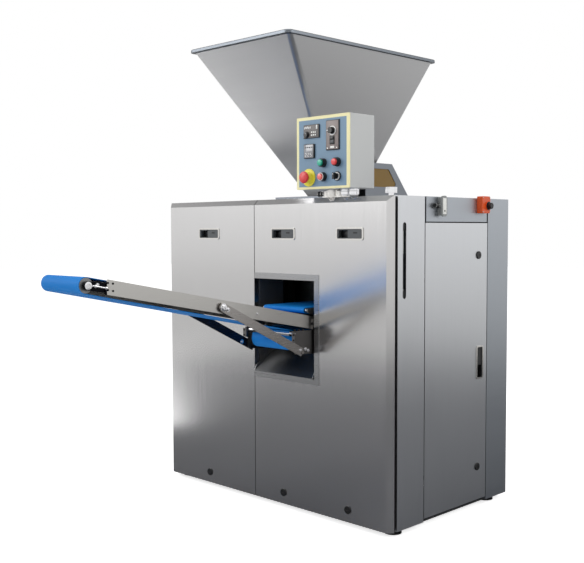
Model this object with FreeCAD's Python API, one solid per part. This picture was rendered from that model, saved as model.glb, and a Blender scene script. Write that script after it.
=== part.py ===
import FreeCAD, Part
import math
import os

# Dough divider, in millimetres.
# Working frame: X to the right seen from the front, Y from the front panels into the machine,
# Z up from the lower edge of the front panels. EXPORT_SHIFT moves the finished part so that
# its origin is the middle of its footprint, on the floor.

V = FreeCAD.Vector

# Cabinet
CAB_W = 1156.0
CAB_D = 691.0
CAB_H = 1100.0
HALF_W = CAB_W / 2
SHEET = 2.0
TRAY = 21.0
CHAMFER = 19.0
SEAM_X = -63.0
GAP = 3.0
FOOT_H = 19.0
BASE_DROP = 8.0
TUBE = 40.0
FRAME_X = HALF_W - TRAY
FRAME_Y0 = TRAY
FRAME_Y1 = CAB_D - TRAY
FRAME_TOP = CAB_H - 3.0
MID_POSTS = (-106.0, 250.0)
RAIL_Y, RAIL_Z = 150.0, 580.0
BED_BEAM_Y = 215.0
BED_X0, BED_X1, BED_Y0, BED_Z, BED_T = -400.0, 350.0, 208.0, 890.0, 10.0

# Right side of the cabinet, from front to rear
GAUGE_Y0, GAUGE_Y1 = 35.0, 178.0
GAUGE_Y = 70.0
SLOT_Z0, SLOT_Z1 = 764.0, 1013.0
DOOR_Y0, DOOR_Y1 = 182.0, 552.0
DOOR_Z0, DOOR_Z1 = 12.0, 1012.0
REAR_STRIP_Y0 = 556.0
UPPER_Z0 = 1016.0
DOOR_PIN = (572.0, 190.0)
DOOR_PIN_R = 3.0
HINGE_POST_Y, HINGE_POST = 150.0, 30.0
DOOR_PIN_Z = (150.0, 485.0, 820.0)

# Outlet in the right front panel
OUT_X1 = 242.5
OUT_Z0, OUT_Z1 = 467.0, 815.0
STRIP = 20.0

# Flush latches and quarter-turn locks
LATCH_L, LATCH_H = 121.0, 44.0
PAN_L, PAN_H, PAN_D = 109.0, 32.0, 18.0
PADDLE_X0, PADDLE_X1 = -10.0, 50.0
PADDLE_PIN_X, PADDLE_PIN_Y = 46.0, 5.0
FRONT_LATCHES = {"left": -320.0, "mid": 87.0, "right": 403.0}
LATCH_Z = 976.0
DOOR_LATCH = (508.0, 512.0)
LOCK_R = 14.0
LEFT_LOCKS = ((-325.0, 42.0),)
RIGHT_LOCKS = ((86.0, 42.0), (395.0, 43.0))
DOOR_LOCKS = ((497.0, 898.0), (497.0, 133.0))

# Hopper
RIM_X0, RIM_X1, RIM_Y0, RIM_Y1 = -236.0, 280.0, -161.5, 652.0
RIM_Z = 1645.0
RIM_OVERHANG, RIM_H = 8.0, 11.0
NECK_R, FOLD_R = 20.0, 18.0
NECK_X0, NECK_X1, NECK_Y0, NECK_Y1 = -32.5, 93.0, 260.0, 399.0
FLARE_Z = 1104.0
NECK_Z0 = 1080.0

# Neck guard
GUARD_X0, GUARD_X1 = -115.0, 175.0
CURB_Y, CURB_H = 160.0, 14.0
GUARD_TOP = 1243.0
GUARD_SIDE = ((350, CAB_H), (350, GUARD_TOP), (504, GUARD_TOP), (625, CAB_H))
WINDOW_SIDE = ((380, 1153), (380, 1222), (487, 1222), (543, 1153))

# Control box on its swivel post
BOX_X0, BOX_X1 = 194.5, 435.5
BOX_Y0, BOX_Y1 = -37.0, 86.5
BOX_Z0, BOX_Z1 = 1127.0, 1370.5
POST = (300.0, 26.0)
FACE_T = 2.5
ROW_TOP_Z, ROW_LOW_Z = 1213.0, 1166.5
COL_A, COL_B, COL_C = 252.0, 319.0, 382.0
SPEED_KNOB = (362.5, 1317.0)

# Outfeed conveyor
SLOPE = 0.193
TOP_AT_0 = 690.5
CONV_X0, CONV_X1 = -3.0, 227.0
PLATE_T = 3.0
PLATE_H = 43.5
PLATE_Y_OUT, PLATE_Y_IN = -835.0, 24.0
BELT_X0, BELT_X1 = 12.0, 212.0
BELT_T = 2.0
FIT = 0.4
NOSE = (-895.5, 835.5, 22.5)
TAIL = (10.0, 663.0, 22.0)
DRUM = (-52.0, 604.0, 30.0)
SNUB = (-86.0, 635.0, 10.0)
ARM_TOP = (-411.0, 746.0)
ARM_LOW = (-56.0, 570.0)
ARM_W, ARM_T = 29.0, 4.0
BOLT_T = 3.0
BRACKET_T = 6.0
BRACKET = ((-86, 566), (-86, 606), (-97, 608), (-97, 645), (0, 643), (4, 680), (24, 676), (60, 655), (150, 622),
           (150, 588), (40, 560), (-40, 562))
FLANGE_Y0, FLANGE_Y1, FLANGE_Z0, FLANGE_Z1 = -97.0, -93.0, 609.0, 640.0

# Inner belt under the dividing head
IN_NOSE = (-15.0, 710.0, 8.0)
IN_REAR = (385.0, 690.0, 28.0)

# Dividing head
HEAD = (165.0, 990.0)
HEAD_R = 70.0
BOX_TOP = 1080.0
CH_X0, CH_X1, CH_Z0, CH_Z1 = -34.0, 126.0, 930.0, 1046.0
POCKET_X, POCKET_R = 60.0, 42.0
RAM_Y0, RAM_Y1 = 410.0, 466.0
RAM_ROD_R = 20.0
RAM_Z = 988.0
KNIFE_Z0, KNIFE_Z1 = 1051.0, 1060.0

# Whole size: from the belt's nose to the rear cable gland, and out to the orange push button
GLAND_OUT = 24.0
BUTTON_OUT = 41.0
Y_MIN = NOSE[0] - NOSE[2] - BELT_T
EXPORT_SHIFT = V(-BUTTON_OUT / 2, -(Y_MIN + CAB_D + GLAND_OUT) / 2, FOOT_H)


def box(x0, x1, y0, y1, z0, z1):
    return Part.makeBox(x1 - x0, y1 - y0, z1 - z0, V(x0, y0, z0))


def rod(axis, start, radius, length):
    direction = {"x": V(1, 0, 0), "y": V(0, 1, 0), "z": V(0, 0, 1)}[axis]
    return Part.makeCylinder(radius, length, V(*start), direction)


def prism_yz(points, x0, x1):
    wire = Part.makePolygon([V(x0, y, z) for y, z in points] + [V(x0, *points[0])])
    return Part.Face(wire).extrude(V(x1 - x0, 0, 0))


def join(shapes):
    return shapes[0].fuse(shapes[1:]).removeSplitter()


def group(shapes):
    return Part.makeCompound(shapes)


def edges_where(shape, test):
    return [e for e in shape.Edges if all(test(v.Point) for v in e.Vertexes) and len(e.Vertexes) == 2]


def near(a, b):
    return abs(a - b) < 1e-4


def round_upright(shape, radius, axis):
    """Rounds the edges of a block that run along one axis."""
    def along(edge):
        d = edge.Vertexes[1].Point.sub(edge.Vertexes[0].Point)
        others = [abs(getattr(d, k)) for k in "xyz" if k != axis]
        return max(others) < 1e-4
    return shape.makeFillet(radius, [e for e in shape.Edges if len(e.Vertexes) == 2 and along(e)])


# Sheet trays

def front_block(x0, x1, z0, z1, y0, y1, outer_side, chamfer):
    """A front panel's solid envelope, chamfered along its top and its outer upright edge."""
    block = box(x0, x1, y0, y1, z0, z1)
    x_edge = x0 if outer_side < 0 else x1
    picked = edges_where(block, lambda p: near(p.y, y0) and near(p.z, z1))
    picked += edges_where(block, lambda p: near(p.y, y0) and near(p.x, x_edge))
    return block.makeChamfer(chamfer, picked)


def front_tray(x0, x1, outer_side):
    outer = front_block(x0, x1, 0, CAB_H, 0, TRAY, outer_side, CHAMFER)
    inner_chamfer = CHAMFER - SHEET * (2 - math.sqrt(2))
    inner = front_block(x0 + SHEET, x1 - SHEET, SHEET, CAB_H - SHEET, SHEET, TRAY + 5,
                        outer_side, inner_chamfer)
    return outer.cut(inner)


def side_tray(sign, y0, y1, z0, z1):
    """A cover on the left (-1) or right (+1) side: a skin with returns towards the frame."""
    xa, xb = sorted((sign * FRAME_X, sign * HALF_W))
    outer = box(xa, xb, y0, y1, z0, z1)
    xa, xb = sorted((sign * (FRAME_X - 5), sign * (HALF_W - SHEET)))
    return outer.cut(box(xa, xb, y0 + SHEET, y1 - SHEET, z0 + SHEET, z1 - SHEET))


# Flush latch, drawn at the origin with its face towards -Y

def latch_bezel():
    rim = round_upright(box(-LATCH_L / 2, LATCH_L / 2, -2.5, 0, -LATCH_H / 2, LATCH_H / 2), 9, "y")
    pan = box(-PAN_L / 2 - 1.5, PAN_L / 2 + 1.5, 0, PAN_D, -PAN_H / 2 - 1.5, PAN_H / 2 + 1.5)
    hollow = round_upright(box(-PAN_L / 2, PAN_L / 2, -5, PAN_D - 1.5, -PAN_H / 2, PAN_H / 2), 4, "y")
    ears = [rod("z", (PADDLE_PIN_X, PADDLE_PIN_Y, s), 2.0, 3.0) for s in (-PAN_H / 2, PAN_H / 2 - 3.0)]
    return join([rim, pan]).cut(hollow).fuse(ears).removeSplitter()


def latch_paddle():
    """The pull plate, hinged on two pin ends at its right edge, with a finger lip at its left edge."""
    plate = box(PADDLE_X0, PADDLE_X1, 1.0, 4.0, -15.5, 15.5)
    lip = box(PADDLE_X0, PADDLE_X0 + 2.5, 1.0, 11.0, -13, 13)
    barrel = rod("z", (PADDLE_PIN_X, PADDLE_PIN_Y, -15.5), 4.0, 31.0)
    pin_hole = rod("z", (PADDLE_PIN_X, PADDLE_PIN_Y, -16.0), 2.3, 32.0)
    return join([plate, lip, barrel]).cut(pin_hole)


def latch_cut():
    return box(-PAN_L / 2 - 2, PAN_L / 2 + 2, -1, 30, -PAN_H / 2 - 2, PAN_H / 2 + 2)


def on_front(shape, x, z):
    return shape.translated(V(x, 0, z))


def on_door(shape):
    """Stands a latch upright and turns it to face +X, on the side door."""
    turned = shape.copy()
    turned.rotate(V(0, 0, 0), V(0, 1, 0), -90)
    turned.rotate(V(0, 0, 0), V(0, 0, 1), 90)
    return turned.translated(V(HALF_W, *DOOR_LATCH))


def quarter_turn_lock():
    """A black key lock: a flat head, a slot for the key and a barrel through the sheet."""
    head = Part.makeCylinder(LOCK_R, 4.0, V(0, -4, 0), V(0, 1, 0))
    rim = [e for e in head.Edges if near(e.BoundBox.YMin, -4) and near(e.BoundBox.YMax, -4)]
    head = head.makeChamfer(1.2, rim)
    barrel = rod("y", (0, 0, 0), 8.8, 16.0)
    cam = box(-7, 7, 16, 18.5, -26, 7)
    slot = box(-7, 7, -5, -1.8, -1.5, 1.5)
    return join([head, barrel, cam]).cut(slot)


def lock_on_door(y, z):
    turned = quarter_turn_lock()
    turned.rotate(V(0, 0, 0), V(0, 0, 1), 90)
    return turned.translated(V(HALF_W, y, z))


# Cabinet

def tube_ring(z0):
    """Four tubes butted into a ring: front and rear at full width, the sides between them."""
    z1 = z0 + TUBE
    tubes = [box(-FRAME_X, FRAME_X, y, y + TUBE, z0, z1) for y in (FRAME_Y0, FRAME_Y1 - TUBE)]
    tubes += [box(x, x + TUBE, FRAME_Y0 + TUBE, FRAME_Y1 - TUBE, z0, z1) for x in (-FRAME_X, FRAME_X - TUBE)]
    return tubes


def frame():
    """Square-tube frame, butted and welded tube by tube, with its bed plate and the door's hinge pins."""
    ring_top, ring_low = FRAME_TOP - TUBE, TUBE - BASE_DROP
    inner_x = FRAME_X - TUBE
    y_front, y_rear = FRAME_Y0 + TUBE, FRAME_Y1 - TUBE
    tubes = tube_ring(-BASE_DROP) + tube_ring(ring_top)
    for y in (FRAME_Y0, y_rear):
        tubes += [box(x, x + TUBE, y, y + TUBE, ring_low, ring_top) for x in (-FRAME_X, inner_x)]
    tubes += [box(x, x + TUBE, FRAME_Y0, y_front, ring_low, ring_top) for x in MID_POSTS]
    post_x, post_y = FRAME_X - HINGE_POST, HINGE_POST_Y + HINGE_POST
    tubes.append(box(post_x, FRAME_X, HINGE_POST_Y, post_y, ring_low, ring_top))
    rail_y = RAIL_Y + TUBE
    for x, y0, y1, z in ((-FRAME_X, y_front, y_rear, RAIL_Z), (inner_x, y_front, RAIL_Y, RAIL_Z),
                         (inner_x, rail_y, y_rear, RAIL_Z), (-FRAME_X, y_front, y_rear, BED_Z - TUBE),
                         (inner_x, post_y, y_rear, BED_Z - TUBE)):
        tubes.append(box(x, x + TUBE, y0, y1, z, z + TUBE))
    tubes.append(box(-inner_x, post_x, RAIL_Y, rail_y, RAIL_Z, RAIL_Z + TUBE))
    tubes += [box(-inner_x, inner_x, y, y + TUBE, BED_Z - TUBE, BED_Z) for y in (BED_BEAM_Y, y_rear)]
    tubes.append(box(BED_X0, BED_X1, BED_Y0, FRAME_Y1 - 4, BED_Z, BED_Z + BED_T))
    px, py = DOOR_PIN
    for z in DOOR_PIN_Z:
        root = box(FRAME_X - 12, FRAME_X, post_y, py + 8, z - 7, z + 7)
        arm = box(FRAME_X - 12, px + 3, py - 0.2, py + 8, z - 7, z + 7)
        tubes.append(join([root, arm, rod("z", (px, py, z - 24), DOOR_PIN_R, 48.0)]))
    return group(tubes)


def levelling_feet():
    feet = []
    for x in (-FRAME_X + 25, FRAME_X - 25):
        for y in (FRAME_Y0 + 50, FRAME_Y1 - 50):
            profile = Part.makePolygon([V(0, 0, -FOOT_H), V(30, 0, -FOOT_H), V(30, 0, -15), V(12, 0, -11),
                                        V(10, 0, -BASE_DROP), V(0, 0, -BASE_DROP), V(0, 0, -FOOT_H)])
            foot = Part.Face(profile).revolve(V(0, 0, 0), V(0, 0, 1), 360)
            feet.append(foot.translated(V(x, y, 0)))
    return group(feet)


def top_cover():
    sheet = box(-FRAME_X + 1, FRAME_X - 1, TRAY + 1, FRAME_Y1 - 2, FRAME_TOP, CAB_H)
    neck = box(NECK_X0 - 3, NECK_X1 + 3, NECK_Y0 - 3, NECK_Y1 + 3, FRAME_TOP - 5, CAB_H + 5)
    return sheet.cut(neck)


def left_cover():
    return side_tray(-1, TRAY + 1, CAB_D, 0, CAB_H)


def rear_cover():
    """Rear cover tray with two groups of cooling slots and a cable gland near its foot."""
    xa, xb = -FRAME_X + 0.5, FRAME_X - 0.5
    tray = box(xa, xb, FRAME_Y1, CAB_D, 0, CAB_H)
    tray = tray.cut(box(xa + SHEET, xb - SHEET, FRAME_Y1 - 5, CAB_D - SHEET, SHEET, CAB_H - SHEET))
    slots = []
    for x in (-330.0, 190.0):
        for row in range(6):
            slots.append(box(x, x + 140, CAB_D - 10, CAB_D + 5, 180 + 26 * row, 188 + 26 * row))
    tray = tray.cut(Part.makeCompound(slots))
    tray = tray.cut(rod("y", (-440, CAB_D - 10, 130), 11.0, 20))
    gland = join([rod("y", (-440, CAB_D - 12, 130), 11.0, 14), rod("y", (-440, CAB_D, 130), 18.0, 8),
                  Part.makeCone(15, 12, 16, V(-440, CAB_D + 8, 130), V(0, 1, 0))])
    return group([tray, gland.cut(rod("y", (-440, CAB_D - 15, 130), 6.0, 45))])


def slot_prism(y, z0, z1, width, x0, x1):
    r = width / 2
    ends = [rod("x", (x0, y, z0 + r), r, x1 - x0), rod("x", (x0, y, z1 - r), r, x1 - x0)]
    return join([box(x0, x1, y - r, y + r, z0 + r, z1 - r)] + ends)


def gauge_cover():
    tray = side_tray(1, GAUGE_Y0, GAUGE_Y1, 0, CAB_H)
    return tray.cut(slot_prism(GAUGE_Y, SLOT_Z0, SLOT_Z1, 18.0, FRAME_X, HALF_W + 5))


def side_panels():
    upper = side_tray(1, DOOR_Y0 + 4, DOOR_Y1 - 4, UPPER_Z0, CAB_H)
    rear = side_tray(1, REAR_STRIP_Y0, CAB_D, 0, CAB_H)
    return group([upper, rear])


def side_door():
    """Side door tray, with hinge knuckles behind its front edge and its latch opening."""
    tray = side_tray(1, DOOR_Y0, DOOR_Y1, DOOR_Z0, DOOR_Z1)
    px, py = DOOR_PIN
    tray = tray.cut(box(FRAME_X - 5, FRAME_X + 0.5, DOOR_Y0 - 1, DOOR_Y1 + 1, DOOR_Z0 - 1, DOOR_Z1 + 1))
    tray = tray.cut(box(FRAME_X - 5, FRAME_X + 5, DOOR_Y0 - 1, py + 4, DOOR_Z0 - 1, DOOR_Z1 + 1))
    for z in DOOR_PIN_Z:
        tray = tray.cut(box(FRAME_X - 1, HALF_W - SHEET, DOOR_Y0 - 1, DOOR_Y0 + SHEET, z - 26, z + 26))
        for z0 in (z - 22, z + 8):
            knuckle = rod("z", (px, py, z0), 5.5, 14).fuse(box(px, HALF_W - SHEET, py - 4, py + 10, z0, z0 + 14))
            knuckle = knuckle.common(box(px - 6, HALF_W - SHEET, py - 6, py + 12, z0, z0 + 14))
            tray = tray.fuse(knuckle.cut(rod("z", (px, py, z0 - 1), 3.4, 16)))
    tray = tray.cut(on_door(latch_cut()))
    for y, z in DOOR_LOCKS:
        tray = tray.cut(rod("x", (HALF_W - 10, y, z), 9.0, 20))
    return tray.removeSplitter()


def left_panel():
    tray = front_tray(-HALF_W, SEAM_X - GAP / 2, -1)
    tray = tray.cut(on_front(latch_cut(), FRONT_LATCHES["left"], LATCH_Z))
    for x, z in LEFT_LOCKS:
        tray = tray.cut(rod("y", (x, -5, z), 9.0, 20))
    return tray


def right_panel():
    """Right front panel, notched for the outlet up to the seam."""
    tray = front_tray(SEAM_X + GAP / 2, HALF_W, 1)
    tray = tray.cut(box(SEAM_X - 5, OUT_X1, -5, TRAY + 5, OUT_Z0, OUT_Z1))
    for name in ("mid", "right"):
        tray = tray.cut(on_front(latch_cut(), FRONT_LATCHES[name], LATCH_Z))
    for x, z in RIGHT_LOCKS:
        tray = tray.cut(rod("y", (x, -5, z), 9.0, 20))
    return tray


def outlet_surround():
    """A flat C-shaped trim round the outlet with a lining that turns inwards."""
    x0 = SEAM_X + GAP / 2
    flat = box(x0, OUT_X1 + STRIP, -1.5, 0, OUT_Z0 - STRIP + 3, OUT_Z1 + STRIP)
    flat = flat.cut(box(x0 - 5, OUT_X1 - SHEET, -5, 5, OUT_Z0 + SHEET, OUT_Z1 - SHEET))
    lining = box(x0, OUT_X1, 0, TRAY, OUT_Z0, OUT_Z1)
    lining = lining.cut(box(x0 - 5, OUT_X1 - SHEET, -5, TRAY + 5, OUT_Z0 + SHEET, OUT_Z1 - SHEET))
    return join([flat, lining])


def gauge_fittings():
    parts = []
    for z0 in (SLOT_Z0 - 6, SLOT_Z1 - 26):
        body = round_upright(box(FRAME_X, HALF_W - 4, GAUGE_Y - 8, GAUGE_Y + 8, z0, z0 + 34), 3, "x")
        parts.append(body)
    low = parts[0].cut(rod("z", (FRAME_X + 9, GAUGE_Y, SLOT_Z0 + 18), 6.6, 20))
    high = parts[1].cut(rod("z", (FRAME_X + 9, GAUGE_Y, SLOT_Z1 - 30), 6.6, 12))
    return group([low, high])


def gauge_tube():
    z0, z1 = SLOT_Z0 + 18, SLOT_Z1 - 18
    return rod("z", (FRAME_X + 9, GAUGE_Y, z0), 6.5, z1 - z0)


def oil_tank():
    tank = round_upright(box(470, FRAME_X, 61, 150, 748, 1030), 6, "x")
    cap = rod("z", (505, 105, 1030), 16, 12)
    return join([tank, cap])


# Hopper and neck guard

def frustum(low, high, radius):
    """A block between two rectangles (x0, x1, y0, y1, z), with its four rising edges rounded."""
    x0, x1, y0, y1, z0 = low
    u0, u1, v0, v1, z1 = high
    block = Part.makeWedge(x0, z0, -y1, -v1, u0, x1, z1, -y0, -v0, u1)
    block.rotate(V(0, 0, 0), V(1, 0, 0), 90)
    rising = [e for e in block.Edges if abs(e.Vertexes[0].Z - e.Vertexes[1].Z) > 1]
    return block.makeFillet(radius, rising)


def hopper_body(inset, z_low, z_high):
    """The neck and the flare as one solid, drawn in from the outer face by the inset."""
    over = RIM_OVERHANG + inset
    neck = (NECK_X0 + inset, NECK_X1 - inset, NECK_Y0 + inset, NECK_Y1 - inset)
    mouth = (RIM_X0 + over, RIM_X1 - over, RIM_Y0 + over, RIM_Y1 - over, z_high)
    stem = frustum(neck + (z_low,), neck + (FLARE_Z,), NECK_R - inset)
    return stem.fuse(frustum(neck + (FLARE_Z,), mouth, FOLD_R - inset))


def hopper():
    """Sheet funnel with rounded folds, a straight neck and a turned-out rim."""
    band = round_upright(box(RIM_X0, RIM_X1, RIM_Y0, RIM_Y1, RIM_Z - RIM_H, RIM_Z), 22, "z")
    lip = [e for e in band.Edges if near(e.BoundBox.ZMin, RIM_Z) and near(e.BoundBox.ZMax, RIM_Z)]
    band = band.makeChamfer(2.5, lip)
    inner = hopper_body(SHEET, NECK_Z0 - 0.5, RIM_Z + 0.5)
    return hopper_body(0, NECK_Z0, RIM_Z).fuse(band).cut(inner).removeSplitter()


def hopper_seat():
    """The flange that clamps the neck onto the cabinet top."""
    plate = box(NECK_X0 - 26, NECK_X1 + 26, NECK_Y0 - 26, NECK_Y1 + 26, CAB_H, CAB_H + 4)
    plate = round_upright(plate, 10, "z")
    return plate.cut(box(NECK_X0 - 0.4, NECK_X1 + 0.4, NECK_Y0 - 0.4, NECK_Y1 + 0.4, CAB_H - 1, CAB_H + 5))


def rounded_polygon_yz(points, x0, x1, radius):
    return round_upright(prism_yz(points, x0, x1), radius, "x")


def neck_guard():
    """Sheet guard round the hopper neck: two sides, a sloping rear and a low curb in front."""
    sides = [prism_yz(GUARD_SIDE, x, x + SHEET) for x in (GUARD_X0, GUARD_X1 - SHEET)]
    curb = [box(GUARD_X0, GUARD_X1, CURB_Y, CURB_Y + SHEET, CAB_H, CAB_H + CURB_H)]
    curb += [box(x, x + SHEET, CURB_Y, 355, CAB_H, CAB_H + CURB_H) for x in (GUARD_X0, GUARD_X1 - SHEET)]
    rear = prism_yz(((504, GUARD_TOP), (506.6, GUARD_TOP), (627.6, CAB_H), (625, CAB_H)), GUARD_X0, GUARD_X1)
    feet = [box(x, x + 14, 350, 570, CAB_H, CAB_H + SHEET) for x in (GUARD_X0 - 14, GUARD_X1)]
    guard = join(sides + [rear] + curb + feet)
    opening = rounded_polygon_yz(WINDOW_SIDE, GUARD_X0 - 5, GUARD_X1 + 5, 12)
    return guard.cut(opening)


def guard_window():
    """Two tinted panes, each on the inner face of a guard side."""
    wide = ((372, 1145), (372, 1230), (491, 1230), (558, 1145))
    return group([rounded_polygon_yz(wide, GUARD_X0 + SHEET, GUARD_X0 + SHEET + 3, 14),
                  rounded_polygon_yz(wide, GUARD_X1 - SHEET - 3, GUARD_X1 - SHEET, 14)])


# Control box

def control_post():
    """Base plate, clamp block with its locking lever, and the spigot that the box turns on."""
    px, py = POST
    plate = round_upright(box(px - 45, px + 45, py - 4, py + 46, CAB_H, CAB_H + 4), 6, "z")
    block = round_upright(box(px - 37, px + 37, py - 3, py + 28, CAB_H + 4, CAB_H + 21), 5, "z")
    slit = box(px - 40, px - 8, py + 8, py + 10.5, CAB_H + 4.5, CAB_H + 30)
    spigot = rod("z", (px, py, CAB_H + 4), 12.0, 32)
    column = rod("z", (px, py, CAB_H + 4), 18.0, 22)
    lever = rod("x", (px - 52, py + 4, CAB_H + 13), 4.0, 20)
    knob = rod("x", (px - 66, py + 4, CAB_H + 13), 9.0, 16)
    return join([block.cut(slit), plate, column, spigot, lever, knob])


def control_box():
    """Folded sheet box, open at the front, with two cable glands below."""
    px, py = POST
    shell = round_upright(box(BOX_X0, BOX_X1, BOX_Y0 + FACE_T, BOX_Y1, BOX_Z0, BOX_Z1), 3, "y")
    inner = box(BOX_X0 + SHEET, BOX_X1 - SHEET, BOX_Y0 - 1, BOX_Y1 - SHEET, BOX_Z0 + SHEET, BOX_Z1 - SHEET)
    shell = shell.cut(inner)
    shell = shell.fuse(box(px - 30, px + 30, BOX_Y0 + 20, BOX_Y1 - 20, BOX_Z0 + SHEET, BOX_Z0 + SHEET + 4))
    shell = shell.cut(rod("z", (px, py, BOX_Z0 - 5), 12.5, 20))
    glands = []
    for x in (362.0, 399.0):
        glands.append(rod("z", (x, py, BOX_Z0 - 20), 16.5, 20))
        glands.append(rod("z", (x, py, BOX_Z0 - 23), 13.0, 4))
    return join([shell] + glands)


def control_face():
    """Front plate with its holes for the instruments and buttons."""
    plate = round_upright(box(BOX_X0, BOX_X1, BOX_Y0, BOX_Y0 + FACE_T, BOX_Z0, BOX_Z1), 3, "y")
    holes = [rod("y", (x, BOX_Y0 - 5, z), 11.5, 12) for x, z in
             ((COL_B, ROW_TOP_Z), (COL_C, ROW_TOP_Z), (COL_A, ROW_LOW_Z), (COL_B, ROW_LOW_Z), (COL_C, ROW_LOW_Z))]
    holes.append(box(234, 299, BOX_Y0 - 5, BOX_Y0 + 5, 1301, 1341))
    holes.append(box(235, 278, BOX_Y0 - 5, BOX_Y0 + 5, 1234, 1276))
    holes.append(box(338, 388, BOX_Y0 - 5, BOX_Y0 + 5, 1260, 1346))
    return plate.cut(Part.makeCompound(holes))


def bezel_ring(x, z, outer, inner, depth):
    """A round collar with its threaded neck through the plate."""
    ring = rod("y", (x, BOX_Y0 - depth, z), outer, depth)
    front = [e for e in ring.Edges if near(e.BoundBox.YMax, BOX_Y0 - depth)]
    ring = ring.makeChamfer(1.0, front).fuse(rod("y", (x, BOX_Y0, z), 11.2, 30))
    return ring.cut(rod("y", (x, BOX_Y0 - depth - 1, z), inner, depth + 28))


def control_modules():
    """Timer, temperature display, speed controller and the collars of the round controls."""
    timer = round_upright(box(230.5, 302.5, BOX_Y0 - 5, BOX_Y0, 1298.5, 1344), 2, "y")
    timer = timer.fuse([box(234.5, 298.5, BOX_Y0, BOX_Y0 + 55, 1301.5, 1340.5),
                        rod("y", (246, BOX_Y0 - 19, 1309), 11.0, 15)])
    display = round_upright(box(232.5, 280.5, BOX_Y0 - 6, BOX_Y0, 1231, 1279), 2, "y")
    display = display.fuse(box(235.5, 277.5, BOX_Y0, BOX_Y0 + 65, 1234.5, 1275.5))
    display = display.cut(box(236, 277, BOX_Y0 - 8, BOX_Y0 - 5, 1245, 1275))
    speed = round_upright(box(333, 392.5, BOX_Y0 - 4, BOX_Y0, 1253, 1352), 2, "y")
    speed = speed.fuse([box(338.5, 387.5, BOX_Y0, BOX_Y0 + 60, 1260.5, 1345.5),
                        round_upright(box(353, 371, BOX_Y0 - 8, BOX_Y0 - 3, 1275, 1297), 1.5, "y")])
    speed = speed.cut(rod("y", (SPEED_KNOB[0], BOX_Y0 - 10, SPEED_KNOB[1]), 3.4, 30))
    rings = [bezel_ring(x, z, 15.0, 9.4, 5) for x, z in
             ((COL_B, ROW_TOP_Z), (COL_C, ROW_TOP_Z), (COL_B, ROW_LOW_Z), (COL_C, ROW_LOW_Z))]
    rings.append(bezel_ring(COL_A, ROW_LOW_Z, 30.0, 9.4, 2.5))
    return group([timer, display, speed] + rings)


def push_button(x, z, cap_r):
    """A button cap with a stem in its collar; it stands out by 4 mm at rest and presses in."""
    cap = rod("y", (x, BOX_Y0 - 13, z), cap_r, 9 + 22)
    front = [e for e in cap.Edges if near(e.BoundBox.YMax, BOX_Y0 - 13)]
    return cap.makeChamfer(1.2, front)


def estop_head():
    """Mushroom head on its stem."""
    x, z = COL_A, ROW_LOW_Z
    points = [V(0, -34, 0), V(9, -33.5, 0), V(17, -31, 0), V(20, -27, 0), V(20, -24, 0), V(16, -20, 0),
              V(11, -18, 0), V(9, -12, 0), V(9, 20, 0), V(0, 20, 0), V(0, -34, 0)]
    head = Part.Face(Part.makePolygon(points)).revolve(V(0, 0, 0), V(0, 1, 0), 360)
    return head.translated(V(x, BOX_Y0, z))


def selector_knob():
    x, z = COL_C, ROW_LOW_Z
    base = rod("y", (x, BOX_Y0 - 12, z), 9.0, 30)
    grip = round_upright(box(x - 3.5, x + 3.5, BOX_Y0 - 24, BOX_Y0 - 12, z - 11, z + 11), 3.0, "y")
    return join([base, grip])


def speed_knob():
    x, z = SPEED_KNOB
    skirt = Part.makeCone(12.0, 10.0, 14.0, V(x, BOX_Y0 - 4.6, z), V(0, -1, 0))
    mark = box(x - 12.5, x, BOX_Y0 - 19.4, BOX_Y0 - 18.4, z - 1, z + 1)
    return join([skirt, rod("y", (x, BOX_Y0 - 5, z), 3.0, 16), mark])


# Small controls on the cabinet

def orange_box():
    body = round_upright(box(HALF_W, HALF_W + 23, 485, 536, 1047, 1107), 5, "x")
    body = body.makeChamfer(1.5, [e for e in body.Edges if near(e.BoundBox.XMin, HALF_W + 23)])
    collar = rod("x", (HALF_W + 23, 519, 1073), 15.0, 4)
    return join([body, collar]).cut(rod("x", (HALF_W + 8, 519, 1073), 11.5, 30))


def orange_button():
    button = rod("x", (HALF_W + 15, 519, 1073), 11.0, 26)
    return button.makeChamfer(1.5, [e for e in button.Edges if near(e.BoundBox.XMin, HALF_W + 41)])


def interlock_switch():
    """Door switch: a body on the upper side panel, a rounded cover and its round plug."""
    body = round_upright(box(HALF_W, HALF_W + 14, 250, 273, 1037, 1099), 4, "x")
    cover = round_upright(box(HALF_W + 14, HALF_W + 20, 246, 277, 1033, 1103), 12, "x")
    plug = join([rod("y", (HALF_W + 9, 236, 1070), 6.0, 20), rod("y", (HALF_W + 9, 221, 1070), 8.5, 16)])
    return join([body, cover, plug])


def top_knob():
    """Knurled knob on a washer, at the front right of the cabinet top."""
    x, y = 530.0, 60.0
    teeth = 24
    points = []
    for k in range(2 * teeth):
        r = 19.5 if k % 2 else 18.3
        a = math.pi * k / teeth
        points.append(V(x + r * math.cos(a), y + r * math.sin(a), CAB_H + 9))
    head = Part.Face(Part.makePolygon(points + [points[0]])).extrude(V(0, 0, 19))
    return join([head, rod("z", (x, y, CAB_H + 0.5), 9.0, 9)])


# Belts: closed loops of tangents round circles, each circle inside (+1) or outside (-1)

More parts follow.
